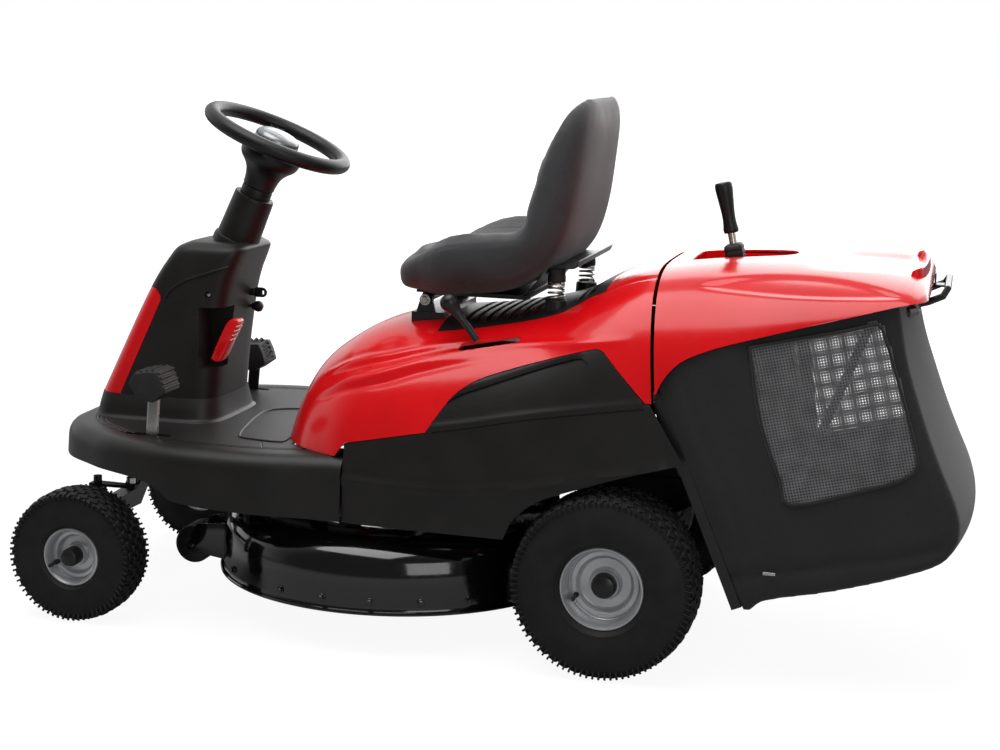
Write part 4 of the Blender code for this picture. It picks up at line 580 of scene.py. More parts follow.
class MOWER_OT_side_panels(bpy.types.Operator):
    """Grained lower side panels with a bare recessed field and a parting line"""

    bl_idname = "mower.side_panels"
    bl_label = "Side panels"

    def execute(self, context):
        line = [(x, z - SEAM) for x, z in HOOD_LINE[1:-1]]
        line += [(0.0645, 0.5465), (0.0745, 0.5465)]
        arch_line = flat_path(((0.145, 0.435), (0.045, 0.408), (-0.055, 0.374), (-0.133, 0.343),
                               (-0.180, 0.305), (-0.201, 0.262)), 5)
        region = line + arch_line + [(-0.5385, 0.262)]
        field = flat_path(((-0.330, 0.519), (-0.304, 0.535), (-0.250, 0.556), (-0.160, 0.591),
                           (-0.079, 0.620), (-0.058, 0.619), (-0.049, 0.606), (-0.068, 0.583),
                           (-0.140, 0.556), (-0.214, 0.531), (-0.273, 0.511), (-0.303, 0.507)), 4)
        ridge = flat_path(((-0.345, 0.522), (-0.300, 0.546), (-0.240, 0.569), (-0.150, 0.603),
                           (-0.072, 0.630)), 5)
        split = flat_path(((-0.353, 0.468), (-0.260, 0.487), (-0.173, 0.506), (-0.040, 0.530),
                           (0.064, 0.546)), 5)
        swage = flat_path(((-0.538, 0.347), (-0.420, 0.344), (-0.293, 0.347), (-0.157, 0.369),
                           (-0.060, 0.390), (0.100, 0.424)), 5)
        for side, end in SIDES:
            lines = [([(x, side * body_side(x, z), z) for x, z in path], depth, width) for path, depth,
                     width in ((ridge, -0.0040, 0.0080), (split, -0.0035, 0.0070),
                               (swage, -0.0060, 0.0110))]
            panel = body_sheet("panel_" + end, steps=220, lines=lines)
            trimmed(panel, region, 0.300, side * 0.290)
            cut(panel, surface_band("field", field, side, 0.0030))
            path = [(x, side * (body_side(x, z - 0.009) + 0.0006), z - 0.009) for x, z in split]
            cut(panel, pipe("parting", path, 0.0018, sides=2))
            dress(panel, "chassis", "moulded", "side_panel_" + end)
            backing = block("panel_backing_" + end, (-0.550, side * 0.329 - 0.004, 0.268),
                            (-0.529, side * 0.329 + 0.004, 0.386), 0.001)
            dress(backing, "chassis", "powder")
        return {"FINISHED"}


class MOWER_OT_grille(bpy.types.Operator):
    """Louvred grille under the seat with the spring pads"""

    bl_idname = "mower.grille"
    bl_label = "Seat grille"

    def execute(self, context):
        grille = body_sheet("grille")
        cut(grille, block("region", (-0.3897, -0.1997, 0.500), (-0.0453, 0.1997, 0.900), 0.0),
            operation="INTERSECT")
        for i in range(12):
            x = -0.345 + i * 0.024
            if abs(x - SPRING_X) > 0.032:
                cut(grille, slab("louvre", stadium((x, -0.165), (x, 0.165), 0.006), 0.400, level_view(0.700)))
        for side in (-1, 1):
            pad = rod("pad", (SPRING_X, side * SPRING_Y, 0.680), (SPRING_X, side * SPRING_Y, 0.7087), 0.024,
                      0.022, 32, 0.002)
            joined(grille, pad)
        dress(grille, "chassis", "moulded", "seat_grille")
        return {"FINISHED"}


# Wheels
REAR = {"radius": 0.184, "width": 0.150, "y": 0.320, "bead": 0.083, "x": 0.0}
FRONT = {"radius": 0.140, "width": 0.100, "y": 0.332, "bead": 0.062, "x": -1.123}
VALVE = ((0.0, 0.040), (0.0035, 0.039), (0.0042, 0.030), (0.0030, 0.028), (0.0030, 0.012), (0.0055, 0.008),
         (0.0055, 0.0), (0.0, 0.0))
VALVE_AT = radians(205)


class MowerTyres(bpy.types.PropertyGroup):
    """Tread of the turf tyres."""

    blocks: IntProperty(name="Blocks", description="Tread blocks round one row of a rear tyre", default=46,
                        min=12, max=70)
    depth: FloatProperty(name="Tread depth", description="How far a block stands out of the casing",
                         default=0.0052, min=0.002, max=0.015, unit="LENGTH", subtype="DISTANCE")


def repeated(name, master, places):
    """Copies of one small mesh, each with its own place, in one mesh; the master is removed."""
    points, faces = [], []
    for place in places:
        start = len(points)
        points += [place @ v.co for v in master.data.vertices]
        faces += [[start + i for i in p.vertices] for p in master.data.polygons]
    bpy.data.meshes.remove(master.data)
    return drawn(name, points, faces=faces)


def tyre(name, size, tread):
    """A casing with sidewall steps, six rows of blocks and fine ribs on the shoulders."""
    radius, half, bead = size["radius"], size["width"] / 2, size["bead"]
    base = radius - tread.depth
    high = base - bead
    side = [(bead, 0.80), (bead + 0.10 * high, 0.93), (bead + 0.16 * high, 0.925), (bead + 0.30 * high, 1.00),
            (bead + 0.55 * high, 0.995), (bead + 0.60 * high, 0.975), (bead + 0.78 * high, 0.955),
            (bead + 0.92 * high, 0.88), (base - 0.004, 0.76), (base, 0.50), (base + 0.0010, 0.20)]
    profile = [(r, h * half) for r, h in side] + [(r, -h * half) for r, h in reversed(side)]
    casing = spun(name, profile, 96, loop=True)
    count = max(12, round(tread.blocks * radius / REAR["radius"]))
    pitch = 2 * pi / count
    length = radius * pitch * 0.66
    wide = half * 0.25
    lug = block("lug", (-length / 2, -wide / 2, -0.004), (length / 2, wide / 2, tread.depth), 0.0016, 1)
    places = []
    for row, across in enumerate((-0.70, -0.42, -0.14, 0.14, 0.42, 0.70)):
        drop = 0.004 if abs(across) > 0.5 else 0.0007
        for i in range(count):
            turn = (i + 0.5 * (row % 2)) * pitch
            lean = radians(10 if row % 2 else -10) + atan2(across, 6)
            place = (Matrix.Rotation(turn, 4, "Z") @ Matrix.Translation((base - drop, 0, across * half))
                     @ Matrix.Rotation(pi / 2, 4, "Y") @ Matrix.Rotation(pi / 2, 4, "Z")
                     @ Matrix.Rotation(lean, 4, "Z") @ Matrix.Rotation(-across * 0.35, 4, "X"))
            places.append(place)
    blocks = repeated("blocks", lug, places)
    rib = block("rib", (-0.0020, -0.014, -0.004), (0.0020, 0.014, 0.0026), 0.0008, 1)
    places = []
    for end in (-1, 1):
        for i in range(count * 2):
            turn = (i + 0.25) * pitch / 2
            place = (Matrix.Rotation(turn, 4, "Z") @ Matrix.Translation((base - 0.013, 0, end * half * 0.89))
                     @ Matrix.Rotation(pi / 2 + end * radians(60), 4, "Y") @ Matrix.Rotation(pi / 2, 4, "Z"))
            places.append(place)
    ribs = repeated("ribs", rib, places)
    return joined(casing, blocks, ribs)


def rim(name, size, hub, dish, inner):
    """A pressed rim: rolled lip, drop, stepped dish and hub; the far side stays plain."""
    half, r = size["width"] / 2, size["bead"] - GAP
    lip = r - 0.004
    profile = [(hub, dish + 0.016), (hub, dish + 0.006), (hub + 0.003, dish + 0.003),
               (0.40 * r, dish + 0.001), (0.60 * r, dish), (0.635 * r, dish + 0.002),
               (0.665 * r, dish + 0.010), (0.70 * r, dish + 0.0125), (0.80 * r, dish + 0.0125),
               (0.84 * r, dish + 0.010), (0.865 * r, dish + 0.012), (lip - 0.005, 0.66 * half),
               (lip - 0.003, 0.76 * half), (lip, 0.80 * half + 0.0025), (r - 0.0015, 0.80 * half + 0.002),
               (r, 0.80 * half), (r, -0.80 * half), (lip, -0.80 * half), (lip - 0.002, -0.76 * half),
               (lip - 0.003, dish + 0.002), (0.66 * r, dish + 0.006), (0.60 * r, dish - 0.006),
               (hub, dish - 0.006), (hub, inner)]
    return spun(name, [(0.0, dish + 0.016)] + profile + [(0.0, inner)], 72)


class MOWER_OT_wheels(bpy.types.Operator):
    """Turf tyres on pressed silver rims with valves and black hub caps"""

    bl_idname = "mower.wheels"
    bl_label = "Wheels"

    def execute(self, context):
        tread = context.scene.mower_tyres
        for size, where in ((FRONT, "front"), (REAR, "rear")):
            for side, end in SIDES:
                middle = Matrix.Translation((size["x"], side * size["y"], size["radius"]))
                turn = middle @ Matrix.Rotation(-side * pi / 2, 4, "X")
                body = "%s_wheel_%s" % (where, end)
                rubber = tyre("tyre_%s_%s" % (where, end), size, tread)
                rubber.data.transform(turn)
                dress(rubber, body, "tyre", "%s_tyre_%s" % (where, end), angle=40)
                hub, dish, inner = (0.022, 0.006, -0.047) if where == "front" else (0.028, 0.012, -0.060)
                steel = rim("rim_%s_%s" % (where, end), size, hub, dish, inner)
                if where == "rear":
                    joined(steel, rod("half_shaft", (0, 0, -0.055), (0, 0, -(size["y"] - 0.012)), 0.0125))
                steel.data.transform(turn)
                dress(steel, body, "wheel_silver", "%s_rim_%s" % (where, end), angle=32)
                top = 0.056 if where == "front" else dish + 0.040
                width = 0.0195 if where == "front" else 0.025
                profile = [(0.0, top), (width * 0.55, top - 0.0008), (width * 0.86, top - 0.005),
                           (width, top - 0.013), (width, dish + 0.014), (0.0, dish + 0.014)]
                dress(spun("hub_cap_%s_%s" % (where, end), profile, 40, turn), body, "nylon")
                out = Matrix.Translation((0.74 * size["bead"], 0, dish + 0.010))
                place = turn @ Matrix.Rotation(VALVE_AT, 4, "Z") @ out
                valve = spun("valve_%s_%s" % (where, end), VALVE, 16, place)
                dress(valve, body, "rubber")
        return {"FINISHED"}


# Steering console, cowl, footplate, column and steering wheel
CONSOLE = ((0.442, -1.185, -0.915, 0.125), (0.520, -1.148, -0.908, 0.122), (0.600, -1.110, -0.898, 0.119),
           (0.660, -1.080, -0.889, 0.117), (0.705, -1.055, -0.878, 0.115), (0.745, -1.028, -0.862, 0.111),
           (0.765, -1.012, -0.856, 0.103), (0.776, -0.990, -0.868, 0.085))
POCKET = ((-0.946, -0.140, 0.508), (-0.800, -0.046, 0.640))
FLOOR_Z = 0.392
PEDAL_Y = 0.278


def oblong(x0, x1, half, z, power=5.0, steps=56):
    """A level ring with rounded corners; its last point repeats the first."""
    points = []
    for i in range(steps + 1):
        turn = 2 * pi * i / steps
        c, s = cos(turn), sin(turn)
        points.append(((x0 + x1) / 2 + (x1 - x0) / 2 * abs(c) ** (2 / power) * (1 if c > 0 else -1),
                       half * abs(s) ** (2 / power) * (1 if s > 0 else -1), z))
    return points


def console_form(name):
    rings = smooth_path(CONSOLE, 5)
    return skin(name, [oblong(x0, x1, half, z, 5.5, 96) for z, x0, x1, half in rings], ends=True)


def console_side(x, z):
    """Half width of the console's flank at a place along it."""
    rings = smooth_path(CONSOLE, 5)
    _, x0, x1, half = min(rings, key=lambda ring: abs(ring[0] - z))
    reach = min(0.99, abs(x - (x0 + x1) / 2) / ((x1 - x0) / 2))
    return half * (1 - reach ** 5.5) ** (1 / 5.5)


def cowl_side(seam):
    """Side outline of all that lies ahead of the cowl's slanted seam."""
    top = flat_path(((-1.034 + seam, 0.651), (-1.036 + seam, 0.662), (-1.048 + seam, 0.676 + seam)), 4)
    return [(-1.127 + seam, 0.400), (-1.127 + seam, 0.442)] + top + [(-1.300, 0.676 + seam), (-1.300, 0.400)]


class MOWER_OT_console(bpy.types.Operator):
    """Grained console with its lever pocket and the glossy front cowl"""

    bl_idname = "mower.console"
    bl_label = "Steering console"

    def execute(self, context):
        console = console_form("console")
        cut(console, block("lever_pocket", POCKET[0], POCKET[1], 0.0))
        cut(console, slab("cowl_way", cowl_side(SEAM), 0.400, side_view(0.0)))
        for y in (-0.1215, 0.1215):
            line = [(-0.992, y, 0.622), (-0.980, y, 0.630), (-0.972, y, 0.630), (-0.935, y, 0.612),
                    (-0.908, y, 0.599)]
            cut(console, pipe("side_groove", line, 0.0042, sides=2))
            cut(console, rod("screw_well", (-0.925, y * 1.06, 0.668), (-0.925, y * 0.90, 0.668), 0.0075))
        crease = flat_path(((-1.022, 0.658), (-1.010, 0.675), (-0.976, 0.697), (-0.930, 0.713),
                            (-0.882, 0.730)), 4)
        for side in (-1, 1):
            joined(console,
                   pipe("crease", [(x, side * console_side(x, z), z) for x, z in crease], 0.0034, sides=3))
        dress(console, "chassis", "moulded", "steering_console")
        for side in (-1, 1):
            head = spun("console_screw_%d" % (side > 0),
                        [(0.0, 0.0022), (0.0035, 0.0018), (0.0055, 0.0), (0.0, -0.002)], 20)
            cut(head, block("driver_slot", (-0.004, -0.0006, 0.0008), (0.004, 0.0006, 0.004), 0.0))
            head.data.transform(Matrix.Translation((-0.925, side * 0.1105, 0.668))
                                @ Matrix.Rotation(-side * pi / 2, 4, "X"))
            dress(head, "chassis", "zinc")
        cowl = console_form("cowl")
        trimmed(cowl, cowl_side(0.0), 0.400)
        dress(cowl, "chassis", "shell", "front_cowl")
        lever = slab("engage_lever",
                     flat_path(((-0.926, 0.527), (-0.912, 0.521), (-0.900, 0.527), (-0.884, 0.560),
                                (-0.866, 0.596), (-0.862, 0.612), (-0.872, 0.617), (-0.882, 0.614),
                                (-0.893, 0.600), (-0.912, 0.560)), 3), 0.034, side_view(-0.085), 0.003, 3)
        for i in range(4):
            z = 0.572 + i * 0.010
            x = -0.8785 + i * 0.0048
            cut(lever, pipe("grip_line", [(x, -0.120, z), (x, -0.050, z)], 0.0022, sides=2))
        dress(lever, "engage_lever", "shell", "blade_lever")
        key_x = -0.8866
        key = rod("ignition_switch", (key_x - 0.010, 0.040, 0.658), (key_x + 0.008, 0.040, 0.658), 0.008,
                  steps=32, bevel=0.001)
        bow = slab("bow", stadium((key_x + 0.012, 0.658), (key_x + 0.024, 0.658), 0.011), 0.005,
                   side_view(0.040), 0.0015)
        cut(bow, slab("ring_hole", stadium((key_x + 0.026, 0.656), (key_x + 0.026, 0.660), 0.0025), 0.020,
                      side_view(0.040)))
        joined(key, bow)
        dress(key, "key", "nylon", "ignition_key")
        knob = [(0.0, 0.0245), (0.006, 0.024), (0.011, 0.0205), (0.0125, 0.014), (0.0115, 0.009),
                (0.008, 0.004), (0.0075, 0.0), (0.0035, 0.0), (0.0035, -0.050), (0.0, -0.050)]
        place = Matrix.Translation((-0.890, 0.050, 0.625)) @ Matrix.Rotation(pi / 2, 4, "Y")
        dress(spun("choke_pull", knob, 40, place), "choke", "nylon", "choke_knob")
        return {"FINISHED"}


FLOOR_HALF = ((-1.245, 0.060), (-1.236, 0.150), (-1.190, 0.235), (-1.120, 0.298), (-1.050, 0.345),
              (-0.930, 0.383), (-0.800, 0.394), (-0.700, 0.388), (-0.620, 0.368), (-0.541, 0.356))


def floor_edge():
    """The floor's rim as seen from above, from the rear left round the nose to the rear right."""
    half = smooth_path([(-1.2465, 0.0, 0.0)] + [(x, y, 0.0) for x, y in FLOOR_HALF], 5)
    right = [(p[0], p[1]) for p in half]
    return [(x, -y) for x, y in reversed(right[1:])] + right


def moved_in(path, margin):
    """An outline moved inwards by a margin; the ends keep their place along the machine."""
    result = []
    for i, (x, y) in enumerate(path):
        ahead, behind = path[min(i + 1, len(path) - 1)], path[max(i - 1, 0)]
        tx, ty = ahead[0] - behind[0], ahead[1] - behind[1]
        size = hypot(tx, ty)
        nx, ny = -ty / size, tx / size
        if i in (0, len(path) - 1):
            nx, ny = 0.0, -1.0 if y > 0 else 1.0
        elif nx * (-0.9 - x) + ny * (0 - y) < 0:
            nx, ny = -nx, -ny
        result.append((x + nx * margin, y + ny * margin))
    return result


class MOWER_OT_footplate(bpy.types.Operator):
    """Moulded floor with a rolled edge, border groove, pedal slots and the console's pedestal"""

    bl_idname = "mower.footplate"
    bl_label = "Footplate"

    def execute(self, context):
        edge = floor_edge()
        levels = ((0.060, 0.0), (0.036, 0.0), (0.026, -0.0015), (0.016, -0.006), (0.008, -0.014),
                  (0.003, -0.024), (0.0015, -0.034), (0.0, -0.060), (-0.002, -0.100), (-0.004, -0.152))
        rows = [[(x, y, FLOOR_Z + down) for x, y in moved_in(edge, margin)] for margin, down in levels]
        skirt = skin("floor_pan", rows)
        modify(skirt, "SOLIDIFY", thickness=0.004, offset=-1.0)
        trim = flat_path(((-1.300, 0.318), (-1.100, 0.325), (-0.975, 0.320), (-0.920, 0.304), (-0.880, 0.282),
                          (-0.720, 0.272), (-0.500, 0.262)), 5)
        cut(skirt, slab("skirt_trim", trim + [(-0.500, 0.150), (-1.300, 0.150)], 1.0, side_view(0.0)))
        top = slab("floor_top", moved_in(edge, 0.059), 0.004, level_view(FLOOR_Z - 0.002))
        for margin, ends in ((0.068, 4), (0.078, 6)):
            border = [(x, y, FLOOR_Z + 0.0008) for x, y in moved_in(edge, margin)[ends:-ends]]
            cut(top, pipe("border_groove", border, 0.0026, sides=2))
        for side in (-1, 1):
            line = [(x, side * y, FLOOR_Z + 0.0008) for x, y in ((-0.745, 0.262), (-0.722, 0.315))]
            cut(top, pipe("cross_line", line, 0.0020, sides=2))
            cut(top, rod("drain", (-0.640, side * 0.292, 0.360), (-0.640, side * 0.292, 0.420), 0.0060))
        for side in (-1, 1):
            slot = stadium((-1.068, side * PEDAL_Y), (-0.948, side * PEDAL_Y), 0.009)
            cut(top, slab("pedal_slot", slot, 0.100, level_view(FLOOR_Z)))
        cut(top, block("battery_well", (-0.680, -0.260, 0.370), (-0.500, 0.260, 0.420), 0.0))
        corners = ((-0.808, -0.226), (-0.828, -0.150), (-0.850, -0.020), (-0.848, 0.045), (-0.812, 0.078),
                   (-0.764, 0.082), (-0.734, 0.010), (-0.712, -0.130), (-0.702, -0.236), (-0.716, -0.254),
                   (-0.750, -0.252), (-0.790, -0.244))
        field = smooth_path([(x, y, FLOOR_Z + 0.0004) for x, y in corners], 4, loop=True)
        joined(top, pipe("field_line", field, 0.0026, loop=True, sides=2))
        pedestal = ((0.388, -1.200, -0.896, 0.152), (0.3925, -1.199, -0.899, 0.149),
                    (0.396, -1.197, -0.904, 0.144), (0.402, -1.195, -0.906, 0.141),
                    (0.418, -1.192, -0.909, 0.137), (0.432, -1.189, -0.911, 0.132),
                    (0.4417, -1.187, -0.912, 0.128))
        foot = skin("pedestal",
                    [oblong(x0, x1, half, z, 5.0, 96) for z, x0, x1, half in smooth_path(pedestal, 3)],
                    ends=True)
        joined(skirt, top, foot)
        dress(skirt, "chassis", "moulded", "footplate", angle=28)
        return {"FINISHED"}


# Steering wheel on its leaning column
COLUMN = Matrix.Translation((-1.080, 0.0, 0.360)) @ Matrix.Rotation(radians(22.7), 4, "Y")
WHEEL_W = 0.695


class MOWER_OT_steering(bpy.types.Operator):
    """Steering wheel with three hollow-faced spokes, a bare silver cap, hub skirt and column sleeve"""

    bl_idname = "mower.steering"
    bl_label = "Steering wheel and sleeve"

    def execute(self, context):
        ring = [(0.1485 + 0.0170 * sin(2 * pi * i / 20), WHEEL_W + 0.0160 * cos(2 * pi * i / 20))
                for i in range(20)]
        wheel = spun("steering_rim", ring, 96, loop=True)
        flare = flat_path(((0.0345, 0.580), (0.0355, 0.592), (0.0378, 0.604), (0.0425, 0.616),
                           (0.0510, 0.627), (0.0600, 0.636), (0.0650, 0.646), (0.0655, 0.656),
                           (0.0610, 0.666), (0.0530, 0.6725), (0.0495, 0.674)), 3)
        skirt = [(0.0103, 0.580)] + flare + [(0.0103, 0.6735)]
        hub = spun("hub", skirt, 72, loop=True)
        spokes = []
        for angle in (0.0, radians(112.0), radians(-112.0)):
            out = Vector((cos(angle), sin(angle), 0.0))
            across = Vector((-sin(angle), cos(angle), 0.0))
            stations = smooth_path([(0.040, 0.662, 0.036, 0.0085), (0.066, 0.667, 0.028, 0.0078),
                                    (0.092, 0.674, 0.0225, 0.0072), (0.120, 0.684, 0.0195, 0.0068),
                                    (0.140, 0.691, 0.0205, 0.0072), (0.1495, 0.694, 0.023, 0.0080)], 4)
            rows = []
            for r, w, half, thick in stations:
                row = []
                for i in range(25):
                    turn = 2 * pi * i / 24
                    c, s = cos(turn), sin(turn)
                    dip = 0.0034 * max(0.0, 1 - (c * 1.5) ** 2) if s > 0 and 0.055 < r < 0.138 else 0.0
                    a = half * abs(c) ** 0.55 * (1 if c > 0 else -1)
                    b = thick * abs(s) ** 0.7 * (1 if s > 0 else -1) - dip
                    row.append(out * r + across * a + Vector((0, 0, w + b)))
                rows.append(row)
            spokes.append(skin("spoke", rows, ends=True))
        joined(wheel, hub, *spokes)
        wheel.data.transform(COLUMN)
        dress(wheel, "steering", "foam_skin", "steering_wheel", angle=50)
        dome = flat_path(((0.010, 0.7093), (0.024, 0.7080), (0.036, 0.7050), (0.0440, 0.7005),
                          (0.0480, 0.6940), (0.0490, 0.6860), (0.0490, 0.6743)), 3)
        cap = spun("wheel_cap", [(0.0, 0.7095)] + dome + [(0.0, 0.6743)], 72)
        for side in (-1, 1):
            line = [(u / 100, side * 0.026, 0.7075 - 2.2 * (u / 100) ** 2) for u in range(-3, 4)]
            cut(cap, pipe("cap_groove", line, 0.0014, sides=2))
        cap.data.transform(COLUMN)
        dress(cap, "steering", "trim_silver", "steering_wheel_cap")
        profile = [(0.0120, 0.577), (0.0325, 0.577), (0.0335, 0.575), (0.0335, 0.558), (0.0415, 0.558),
                   (0.0428, 0.5575), (0.0437, 0.5555), (0.0440, 0.5500), (0.0448, 0.5250), (0.0462, 0.4800),
                   (0.0475, 0.4480), (0.0475, 0.4250), (0.0120, 0.4250)]
        sleeve = spun("column_collar", profile, 64, loop=True)
        lip = [(0.0470, 0.4580), (0.0505, 0.4560), (0.0520, 0.4500), (0.0520, 0.4380), (0.0470, 0.4380)]
        joined(sleeve, spun("collar_lip", lip, 64, loop=True))
        sleeve.data.transform(COLUMN)
        dress(sleeve, "chassis", "moulded", "column_sleeve")
        return {"FINISHED"}


# Cutting deck: it hangs level on equal lift arms, which lean by their rest angle
DECK_X = -0.520
DECK_R = 0.385
DECK_WALL = 0.3868
LIFT_ARM = 0.130
LIFT_REST = radians(11)
LIFT_PIVOTS = (-0.800, -0.460)
LIFT_Z = 0.300


class MOWER_OT_deck(bpy.types.Operator):
    """Pressed deck with a rolled rim, bolt heads, lugs and the ribbed front roller"""

    bl_idname = "mower.deck"
    bl_label = "Cutting deck and roller"

    def execute(self, context):
        outer = [(0.0125, 0.245), (0.038, 0.245), (0.0415, 0.2435), (0.0465, 0.2335), (0.0500, 0.2320),
                 (0.150, 0.2315), (0.155, 0.2285), (0.215, 0.2275), (0.220, 0.2305), (0.280, 0.2298)]
        outer += flat_path(((0.280, 0.2298), (0.318, 0.2282), (0.345, 0.2220), (0.364, 0.2110),
                            (0.377, 0.1940), (0.384, 0.1730), (0.387, 0.1500), (0.3865, 0.1200),
                            (0.3855, 0.0960)), 4)[1:]
        rim = [(0.3870, 0.0930), (0.3915, 0.0920), (0.3930, 0.0895), (0.3925, 0.0862), (0.3895, 0.0850),
               (0.3820, 0.0850)]
        inner = [(0.3840, 0.1500), (0.3810, 0.1725), (0.3740, 0.1925), (0.3615, 0.2085), (0.3435, 0.2190),
                 (0.2800, 0.2265), (0.048, 0.2290), (0.040, 0.2150), (0.0125, 0.2150)]
        deck = spun("deck_shell", outer + rim + inner, 144, Matrix.Translation((DECK_X, 0, 0)), loop=True)
        cut(deck, block("outlet", (-0.240, -0.125, 0.110), (-0.090, -0.017, 0.205), 0.0))
        top = LIFT_Z + LIFT_ARM * sin(LIFT_REST)
        for x in [pivot + LIFT_ARM * cos(LIFT_REST) for pivot in LIFT_PIVOTS]:
            for side in (-1, 1):
                lug = slab("lug", [(x - 0.028, 0.2275), (x + 0.028, 0.2275), (x + 0.013, top + 0.004),
                                   (x + 0.008, top + 0.011), (x, top + 0.0135), (x - 0.008, top + 0.011),
                                   (x - 0.013, top + 0.004)], 0.006, side_view(side * 0.115), 0.001)
                joined(deck, lug, rod("lift_pin", (x, side * 0.113, top), (x, side * 0.132, top), 0.006,
                                      steps=20, bevel=0.001))
        roller_x, roller_z = DECK_X - DECK_R - 0.035, 0.130
        for y in (-0.1690, -0.0910):
            wall = DECK_X - sqrt(DECK_R ** 2 - y ** 2) + 0.002
            fork = slab("fork", [(roller_x - 0.012, roller_z - 0.010), (roller_x, roller_z - 0.016),
                                 (roller_x + 0.012, roller_z - 0.016), (wall, 0.105), (wall, 0.185),
                                 (roller_x + 0.012, 0.178), (roller_x - 0.010, roller_z + 0.016),
                                 (roller_x - 0.014, roller_z + 0.004)], 0.005, side_view(y), 0.001)
            joined(deck, fork)
        joined(deck, rod("roller_pin", (roller_x, -0.1745, roller_z), (roller_x, -0.0855, roller_z), 0.005,
                         steps=20, bevel=0.001))
        dress(deck, "deck", "enamel", "cutting_deck")
        for i, bearing in enumerate((-112, -97, -82, -67, -52, -138, 60, 75, 90, 105, 120, 150)):
            a = radians(bearing)
            spot = Matrix.Translation((DECK_X + DECK_WALL * cos(a), DECK_WALL * sin(a), 0.1120))
            turn = Vector((cos(a), sin(a), 0)).to_track_quat("Z", "Y").to_matrix().to_4x4()
            washer = [(0.0, -0.003), (0.0085, -0.003), (0.0085, 0.0014), (0.0080, 0.0019), (0.0, 0.0019)]
            head = [(0.0, 0.0010), (0.0058, 0.0010), (0.0058, 0.0052), (0.0050, 0.0060), (0.0, 0.0060)]
            bolt = hex_bolt("deck_bolt_%02d" % i, washer, head, spot @ turn)
            dress(bolt, "deck", "enamel", angle=25)
        ribs = [(0.0055, 0.0360), (0.0340, 0.0360)]
        for i in range(6):
            top = 0.0360 - i * 0.0120
            ribs += [(0.0375, top - 0.0008), (0.0405, top - 0.0024), (0.0412, top - 0.0060),
                     (0.0405, top - 0.0096), (0.0375, top - 0.0112)]
        ribs += [(0.0340, -0.0360), (0.0055, -0.0360)]
        roller = spun("front_roller", ribs, 48,
                      Matrix.Translation((roller_x, -0.130, roller_z)) @ Matrix.Rotation(pi / 2, 4, "X"),
                      loop=True)
        dress(roller, "roller", "nylon", "deck_roller")
        return {"FINISHED"}


class MOWER_OT_pedals(bpy.types.Operator):
    """Two pedals: a straight-ribbed pad on a bright arm and a chevron-ribbed pad on a dark arm"""

    bl_idname = "mower.pedals"
    bl_label = "Pedals"

    def execute(self, context):
        straight = ((-0.036, 0.0), (0.036, 0.0))
        chevron = ((-0.036, -0.007), (0.0, 0.007), (0.036, -0.007))
        for name, body, side, top, finish, spread in (
                ("brake_pedal", "brake", -1, 0.497, "zinc", straight),
                ("drive_pedal", "drive", 1, 0.470, "powder", chevron)):
            x, y, z = -0.985, side * PEDAL_Y, 0.338
            arm = slab(name + "_arm", stadium((x, z), (x + 0.010, top - 0.014), 0.013), 0.006, side_view(y),
                       0.001)
            joined(arm, rod("hub", (x, y - 0.014, z), (x, y + 0.014, z), 0.0155, steps=32, bevel=0.001))
            cut(arm, rod("bore", (x, y - 0.030, z), (x, y + 0.030, z), 0.0086, steps=32))
            dress(arm, body, finish, name)
            drop = top - 0.497
            face = ((-1.016, 0.503), (-1.004, 0.5255), (-0.980, 0.5315), (-0.952, 0.5335), (-0.942, 0.512),
                    (-0.935, 0.488), (-0.963, 0.468), (-0.994, 0.471))
            pad = slab(name + "_pad", [(u, v + drop) for u, v in face], 0.078, side_view(y), 0.003, 3)
            crown = ((-1.001, 0.5262), (-0.988, 0.5296), (-0.975, 0.5318), (-0.962, 0.5328),
                     (-0.9495, 0.5285), (-0.9450, 0.5185), (-0.9408, 0.5080), (-0.9378, 0.4970))
            ribs = []
            for u, v in crown:
                path = [(u + turn * 0.5, y + across, v + drop + turn) for across, turn in spread]
                ribs.append(pipe("rib", path, 0.0032, sides=3))
            joined(pad, *ribs)
            dress(pad, body, "rubber")
        return {"FINISHED"}


# Seat: padded bucket on two springs; each station along its curve has the surface's centre (x, z), lean in
# degrees, depth, half width and bolster height
SEAT = ((-0.5200, 0.748, -4, 0.032, 0.120, 0.000), (-0.5130, 0.762, -8, 0.052, 0.172, 0.004),
        (-0.4840, 0.776, -10, 0.067, 0.208, 0.012), (-0.4250, 0.788, -4, 0.084, 0.236, 0.026),
        (-0.3400, 0.792, -2, 0.080, 0.243, 0.040), (-0.2620, 0.797, -10, 0.072, 0.246, 0.042),
        (-0.2000, 0.832, -46, 0.062, 0.244, 0.022), (-0.1780, 0.900, -78, 0.062, 0.237, 0.023),
        (-0.1600, 0.985, -79, 0.056, 0.227, 0.022), (-0.1380, 1.064, -74, 0.044, 0.205, 0.014),
        (-0.1200, 1.103, -58, 0.030, 0.165, 0.004), (-0.1060, 1.117, -40, 0.018, 0.118, 0.000))
BUFFER_TOP = 0.7728
STUFFING_FRAMES = 20
SEAT_HALF = ((0.0, -1.0, 0.0), (0.55, -0.98, 0.0), (0.86, -0.78, 0.0), (0.985, -0.30, 0.05),
             (0.995, 0.0, 0.55), (0.955, 0.0, 0.93), (0.860, 0.0, 1.0), (0.700, 0.0, 0.58),
             (0.530, 0.0, 0.16), (0.300, 0.04, 0.0), (0.0, 0.06, 0.0))


def seat_point(station, across, down, up):
    x, z, lean, depth, half, bolster = station
    normal = Vector((sin(radians(lean)), 0.0, cos(radians(lean))))
    swept = 1.24 * (across * half) ** 2 * min(1.0, max(0.0, (-0.36 - x) / 0.13))
    return Vector((x + swept, across * half, z)) + normal * (down * depth + up * bolster)


